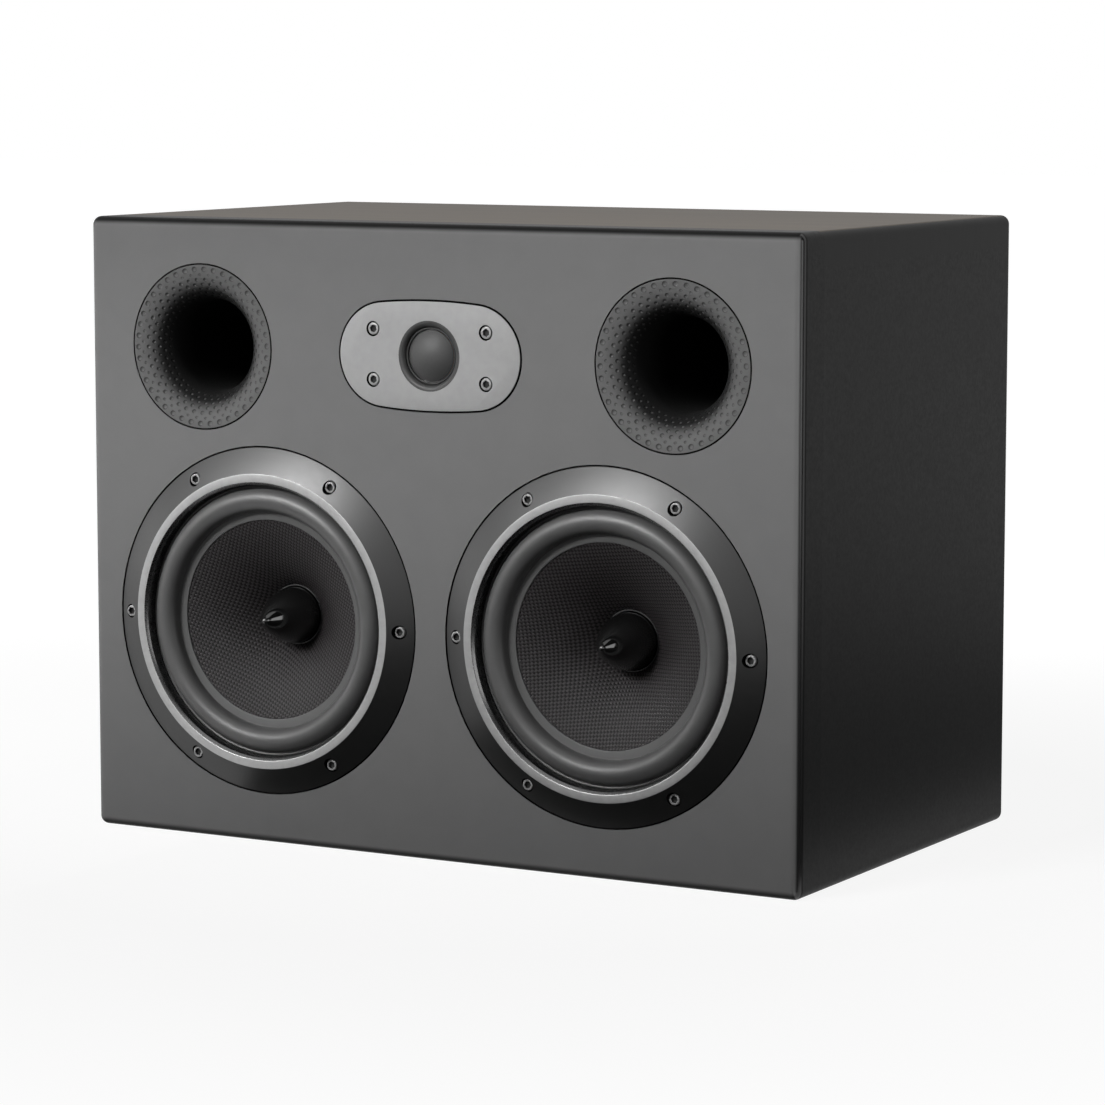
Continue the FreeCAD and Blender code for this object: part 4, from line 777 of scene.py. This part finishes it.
def plate_outline():
    """The faceplate's outline: two round ends, and two long sides that bow out a little."""
    half, reach = PLATE_HIGH / 2, PLATE_WIDE / 2 - PLATE_END
    bow = (reach ** 2 + half ** 2 - PLATE_END ** 2) / (2 * PLATE_DROP)
    meet_x = bow * reach / (bow - PLATE_END)
    meet_z = half - bow + bow * (bow - half) / (bow - PLATE_END)
    swing = math.atan2(meet_z, meet_x - reach)
    lean = math.asin(meet_x / bow)
    right = [(reach + PLATE_END * math.cos(turn), PLATE_END * math.sin(turn))
             for turn in (swing * step / END_STEPS for step in range(-END_STEPS, END_STEPS + 1))]
    top = [(bow * math.sin(turn), half - bow + bow * math.cos(turn))
           for turn in (-lean * step / SIDE_STEPS for step in range(1 - SIDE_STEPS, SIDE_STEPS))]
    return right + top + [(-x, -z) for x, z in right + top]


def faceplate(centre):
    """The oblong plate with its four screw recesses and its dark well round the dome."""
    form = bmesh.new()
    outline = plate_outline()
    middle = PLATE_EDGE * EDGE_MIDDLE
    loops = []
    for inset, depth in ((0.0, PLATE_BACK), (0.0, PLATE_FRONT + PLATE_EDGE), (middle, PLATE_FRONT + middle),
                         (PLATE_EDGE, PLATE_FRONT)):
        inset += PLATE_GAP
        shrink = (1 - inset / (PLATE_WIDE / 2), 1 - inset / (PLATE_HIGH / 2))
        loops.append([form.verts.new(centre + MM * Vector((x * shrink[0], depth, z * shrink[1])))
                      for x, z in outline])
    form.faces.new(loops[0])
    form.faces.new(loops[-1])
    # Painted shade: the plate's side wall takes the near-black gap shade.
    for place, (loop, after) in enumerate(zip(loops, loops[1:])):
        band(form, loop, after, int(place == 0))
    piece = new_piece("treble_faceplate", form, FINISHES["faceplate_metal"], GAP_SHADE)
    corners = [centre + MM * Vector((x, 0, z)) for x in (-PLATE_SCREW_X, PLATE_SCREW_X)
               for z in (-PLATE_SCREW_Z, PLATE_SCREW_Z)]
    drill(piece, corners, PLATE_SCREW["recess"], PLATE_DRILL_FROM, PLATE_SCREW["seat"])
    drill(piece, [centre], WELL_SEAT, PLATE_DRILL_FROM, WELL_DRILL_TO)
    settle(piece, "root", "faceplate_metal", "tweeter_faceplate")
    edge, mouth = WELL_SEAT - WELL_CLEARANCE, PLATE_FRONT + WELL_SETBACK
    bend = WELL_FLOOR - mouth
    well = [(edge, mouth)]
    well += arc((WELL_THROAT + bend, WELL_FLOOR), (WELL_THROAT + bend, mouth), (WELL_THROAT, WELL_FLOOR), 12)
    well += [(edge, WELL_FLOOR)]
    ring = turned("treble_well_ring", zoned(well), centre, WELL_DARK, segments=128)
    settle(ring, "root", "faceplate_metal")
    screws("plate_screws", corners, PLATE_SCREW, 3, "tweeter_screws")


def dome(centre):
    """The treble dome, a thin round shell."""
    radius = cap_radius(DOME_RADIUS, WELL_FLOOR - DOME_APEX)
    middle = (0.0, DOME_APEX + radius)
    front = arc(middle, (0.0, DOME_APEX), (DOME_RADIUS, WELL_FLOOR), 40)
    back = arc(middle, (DOME_RADIUS, WELL_FLOOR), (0.0, DOME_APEX), 40)
    shrink = 1 - DOME_WALL / radius
    back = [(across * shrink, middle[1] + (depth - middle[1]) * shrink) for across, depth in back]
    profile = zoned(front + back)
    profile[0], profile[-1] = (0.0, DOME_APEX, 0), (0.0, DOME_APEX + DOME_WALL, 0)
    piece = turned("treble_dome", profile, centre, FINISHES["dome_film"], segments=96)
    settle(piece, "treble_diaphragm", "dome_film", "tweeter_dome")


def small_roll(centre):
    """The narrow roll round the dome."""
    middle, outer, inner = SMALL_ROLL_MIDDLE, SMALL_ROLL_RADIUS, SMALL_ROLL_RADIUS - SMALL_ROLL_WALL
    depth = WELL_FLOOR
    over = crest_arc((middle, depth), (middle + outer, depth), outer, (middle - outer, depth), 8)
    under = [(middle + (across - middle) * inner / outer, depth + (deep - depth) * inner / outer)
             for across, deep in reversed(over)]
    piece = turned("treble_small_roll", zoned(over + under), centre, SMALL_ROLL, segments=128)
    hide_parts("tweeter_surround")
    radial_blend(piece, "treble_diaphragm", centre, middle + outer, middle - outer)


treble = on_front("tweeter_faceplate")
faceplate(treble)
dome(treble)
small_roll(treble)

# Ports

DENT_ROWS, DENT_PITCH, SECOND_SHARE, DENT_SHARE = 7, 3.1, 0.5, 0.85
SAMPLES_PER_DENT, ROW_SAMPLES, DENTED_BEND = 17, 104, math.radians(66.0)
FLANGE_GAP, FLANGE_BEVEL = 0.25, 0.2
DENT_PHASE, STAGGER, DENT_STEEPNESS, SEAM_DISTANCE = 0.25, 0.5, 1.6, 0.00001


def dented_tree():
    """A flared mouth with staggered rows of round dents, rolled from a flat grid."""
    tree, given, out = new_tree(
        "dented_flare", "GeometryNodeTree",
        {"Geometry": "Geometry", "Centre": "Vector", "Outer Radius": "Float", "Rim": "Float", "Flare": "Float",
         "Last Bend": "Float", "Around": "Int", "Samples": "Int", "Rows": "Int", "Row Samples": "Int",
         "First Row": "Float", "Row Pitch": "Float", "Dent Radius": "Float", "Dent Depth": "Float",
         "Second Share": "Float", "Inner Share": "Float", "Finish": "Material"},
        {"Geometry": "Geometry"})
    rim, flare, around = given["Rim"], given["Flare"], given["Around"]
    sheet = add(tree, "GeometryNodeMeshGrid", Size_X=1.0, Size_Y=1.0, Vertices_X=around * given["Samples"] + 1.0,
                Vertices_Y=given["Row Samples"])
    u, v, _ = axes(tree, add(tree, "GeometryNodeInputPosition").outputs["Position"])
    along = (v + 0.5) * (rim + flare * given["Last Bend"])
    turn = (u + 0.5) * (2 * math.pi)
    bend = ((along - rim) / flare).math("MAXIMUM", 0.0)
    radius = given["Outer Radius"] - along.math("MINIMUM", rim) - flare * bend.math("SINE")
    depth = flare - flare * bend.math("COSINE")
    step = (along - given["First Row"]) / given["Row Pitch"]
    row = step.math("ROUND").math("MAXIMUM", 0.0).math("MINIMUM", given["Rows"] - 1.0)
    place = turn * around / (2 * math.pi) - DENT_PHASE - row.math("MODULO", 2.0) * STAGGER
    sideways = (place - place.math("ROUND")) * (2 * math.pi) * radius / around
    lengthways = (step - row) * given["Row Pitch"]
    share = row.math("MINIMUM", 1.0) * (given["Inner Share"] - 1.0) + 1.0
    share = share + row.math("COMPARE", 1.0, 0.1) * (given["Second Share"] - given["Inner Share"])
    size = given["Dent Radius"] * share * radius / (given["Outer Radius"] - rim)
    bowl = (1.0 - (sideways * sideways + lengthways * lengthways) / (size * size)).math("MAXIMUM", 0.0)
    sink = (bowl * DENT_STEEPNESS).math("MINIMUM", 1.0) * given["Dent Depth"] * share
    shaded = add(tree, "GeometryNodeStoreNamedAttribute", Name="dent_bowl", Value=bowl,
                 Geometry=sheet.outputs["Mesh"])
    radius = radius + sink * bend.math("SINE")
    depth = depth + sink * bend.math("COSINE")
    point = moved(tree, given["Centre"], radius * turn.math("COSINE"), depth, radius * turn.math("SINE"))
    rolled = add(tree, "GeometryNodeSetPosition", Geometry=shaded.outputs["Geometry"], Position=point)
    coloured = add(tree, "GeometryNodeSetMaterial", Geometry=rolled.outputs["Geometry"], Material=given["Finish"])
    both = add(tree, "GeometryNodeJoinGeometry")
    join(both.inputs["Geometry"], given["Geometry"])
    join(both.inputs["Geometry"], coloured.outputs["Geometry"])
    closed = add(tree, "GeometryNodeMergeByDistance", Geometry=both.outputs["Geometry"], Distance=SEAM_DISTANCE)
    smooth = add(tree, "GeometryNodeSetShadeSmooth", Geometry=closed.outputs["Geometry"])
    join(out.inputs["Geometry"], smooth.outputs["Geometry"])
    return tree


DENTED_FLARE = dented_tree()


def port(name, node):
    """A flared port: a dented mouth with its tube and back."""
    centre = on_front(node)
    throat = FLANGE_RADIUS - FLANGE_RIM - FLARE_RADIUS
    tube = throat + TUBE_WALL
    back_middle = (FLANGE_RADIUS - FLANGE_RIM, FLARE_RADIUS)
    landing = back_middle[0] - math.sqrt(FLARE_BACK ** 2 - (FLARE_RADIUS - FLANGE_BACK) ** 2)
    last = (back_middle[0] - FLARE_RADIUS * math.sin(DENTED_BEND), FLARE_RADIUS * (1 - math.cos(DENTED_BEND)))
    profile = arc(back_middle, last, (throat, FLARE_RADIUS), 4) + [(throat, TUBE_END), (tube, TUBE_END)]
    profile += arc(back_middle, (tube, FLARE_RADIUS), (landing, FLANGE_BACK), 12)
    outer = FLANGE_RADIUS - FLANGE_GAP
    # Painted shade: the flange's outer wall and bevel, zone one, take the near-black gap shade.
    side = [(outer, FLANGE_BACK), (outer, FLANGE_BEVEL), (outer - FLANGE_BEVEL, 0.0)]
    form = bmesh.new()
    lathe(form, zoned(profile) + zoned(side, 1), centre, DENTS_AROUND * SAMPLES_PER_DENT, closed=False)
    piece = new_piece(name, form, FINISHES["port_plastic"], GAP_SHADE)
    rim = FLANGE_RIM - FLANGE_GAP - FLANGE_BEVEL
    first = rim + FLARE_RADIUS * math.asin((FLANGE_RADIUS - FLANGE_RIM - DENT_FIRST) / FLARE_RADIUS)
    grow(piece, DENTED_FLARE, Centre=centre, Outer_Radius=(outer - FLANGE_BEVEL) * MM, Rim=rim * MM,
         Flare=FLARE_RADIUS * MM, Last_Bend=DENTED_BEND, Around=DENTS_AROUND, Samples=SAMPLES_PER_DENT,
         Rows=DENT_ROWS, Row_Samples=ROW_SAMPLES, First_Row=first * MM, Row_Pitch=DENT_PITCH * MM,
         Dent_Radius=DENT_RADIUS * MM, Dent_Depth=DENT_DEPTH * MM, Second_Share=SECOND_SHARE,
         Inner_Share=DENT_SHARE, Finish=FINISHES["port_plastic"])
    outward(piece)
    settle(piece, "root", "port_plastic", node)


for side in ("left", "right"):
    port(f"{side}_dented_port", f"{side}_port")

# Floor, light and camera

# Lengths are in metres here and the camera's angles in degrees. Each floor card is given by two of its corners.
FLOOR_CARDS = [((-0.9, -1.3), (1.45, -0.42)), ((-0.15, -0.42), (1.45, -0.142)), ((0.27, -0.142), (1.1, 0.75))]
CARD_LIFT = 0.001
SIDE_CARD_X, SIDE_CARD_ENDS, SIDE_CARD_HIGH = 1.45, (-1.5, -0.05), 4.5

FOCAL_LENGTH, SENSOR_WIDTH = 133.2, 36.0
CAMERA_PLACE, CAMERA_DIP, CAMERA_TURN = (1.1498, -2.0285, 0.4407), 6.94, 29.54


def cards(name, corners, material):
    """An object of flat sheets, each with four of the corners."""
    mesh = bpy.data.meshes.new(name)
    mesh.from_pydata(corners, [], [range(first, first + 4) for first in range(0, len(corners), 4)])
    mesh.materials.append(material)
    return placed(name, mesh)


def background_rays(tree):
    """One for a ray that shows the background: straight from the camera, or by way of metal or glass."""
    rays = add(tree, "ShaderNodeLightPath").outputs
    seen = Term(rays["Is Camera Ray"])
    return seen.math("MAXIMUM", rays["Is Glossy Ray"]).math("MAXIMUM", rays["Is Transmission Ray"])


def pale_floor(half_size=12.0, albedo=0.14, near_lift=0.9, near=0.35, far=0.95):
    """A plain floor that is white in the light and keeps a faint shadow round the object."""
    material = bpy.data.materials.new("studio_floor")
    material.use_nodes = True
    tree = material.node_tree
    tree.nodes.clear()
    matt = add(tree, "ShaderNodeBsdfDiffuse", Color=(albedo, albedo, albedo, 1.0))
    away = add(tree, "ShaderNodeVectorMath", {"operation": "LENGTH"})
    join(away.inputs[0], shaded_point(tree))
    lift = add(tree, "ShaderNodeMapRange", Value=away.outputs["Value"], From_Min=near, From_Max=far,
               To_Min=near_lift, To_Max=1.0)
    glow = add(tree, "ShaderNodeEmission", Strength=background_rays(tree) * lift.outputs["Result"])
    both = add(tree, "ShaderNodeAddShader")
    join(both.inputs[0], matt.outputs["BSDF"])
    join(both.inputs[1], glow.outputs["Emission"])
    add(tree, "ShaderNodeOutputMaterial", Surface=both.outputs["Shader"])
    corners = [(-half_size, -half_size, 0), (half_size, -half_size, 0), (half_size, half_size, 0),
               (-half_size, half_size, 0)]
    floor = cards("studio_floor", corners, material)


def softbox(name, place, aim, wide, high, watts, spread=math.pi, roll=0.0):
    """A rectangular lamp that faces a point; a narrow spread gathers its light there, and a roll tips it."""
    lamp = bpy.data.lights.new(name, "AREA")
    lamp.shape, lamp.size, lamp.size_y = "RECTANGLE", wide, high
    lamp.energy, lamp.spread = watts, spread
    obj = placed(name, lamp)
    obj.location, obj.visible_camera = place, False
    facing = (Vector(aim) - Vector(place)).to_track_quat("-Z", "Y")
    obj.rotation_euler = (facing @ Quaternion((0.0, 0.0, 1.0), roll)).to_euler()


def dark_flags():
    """Black cards on the floor and to the right, which the camera does not see and reflections meet."""
    material = finish("studio_flag", grey(0.008), grey(0.012), 20.0, 0.9, 1.0)
    corners = [(x, y, CARD_LIFT) for low, high in FLOOR_CARDS
               for x, y in (low, (high[0], low[1]), high, (low[0], high[1]))]
    near, far = SIDE_CARD_ENDS
    corners += [(SIDE_CARD_X, near, 0.0), (SIDE_CARD_X, far, 0.0), (SIDE_CARD_X, far, SIDE_CARD_HIGH),
                (SIDE_CARD_X, near, SIDE_CARD_HIGH)]
    flags = cards("studio_flags", corners, material)
    flags.visible_camera = flags.visible_shadow = False


def studio_world(dim=0.05):
    """White behind the object and in its reflections, and a dim even light on it."""
    world = bpy.data.worlds.new("studio")
    world.use_nodes = True
    tree = world.node_tree
    tree.nodes.clear()
    back = add(tree, "ShaderNodeBackground", Strength=background_rays(tree) * (1.0 - dim) + dim,
               Color=(1.0, 1.0, 1.0, 1.0))
    add(tree, "ShaderNodeOutputWorld", Surface=back.outputs["Background"])
    bpy.context.scene.world = world


def camera():
    """The photograph's view: a long lens a little above the cabinet, to its right."""
    lens = bpy.data.cameras.new("camera")
    lens.lens, lens.sensor_width, lens.sensor_fit = FOCAL_LENGTH, SENSOR_WIDTH, "HORIZONTAL"
    obj = placed("camera", lens)
    obj.location = CAMERA_PLACE
    obj.rotation_euler = (math.radians(90.0 - CAMERA_DIP), 0.0, math.radians(CAMERA_TURN))
    bpy.context.scene.camera = obj


pale_floor()
softbox("key_lamp", (-0.41, -1.06, 0.74), (-0.02, -0.135, 0.25), 1.20, 0.25, 1.42,
        spread=math.radians(33.0), roll=math.radians(18.0))
softbox("fill_lamp", (-1.07, -1.03, 0.69), (-0.20, -0.135, 0.06), 0.50, 0.35, 0.31, spread=math.radians(60.0))
softbox("side_lamp", (1.22, -0.58, 0.40), (0.0, -0.135, 0.16), 0.36, 0.70, 2.0)
softbox("left_lamp", (-1.50, -0.60, 0.30), (0.0, -0.135, 0.15), 0.45, 0.40, 1.1)
softbox("rear_lamp", (-0.50, 1.20, 0.20), (0.0, 0.135, 0.16), 0.50, 0.25, 1.6)
dark_flags()
studio_world()
camera()
bpy.context.scene.view_settings.view_transform = "Standard"
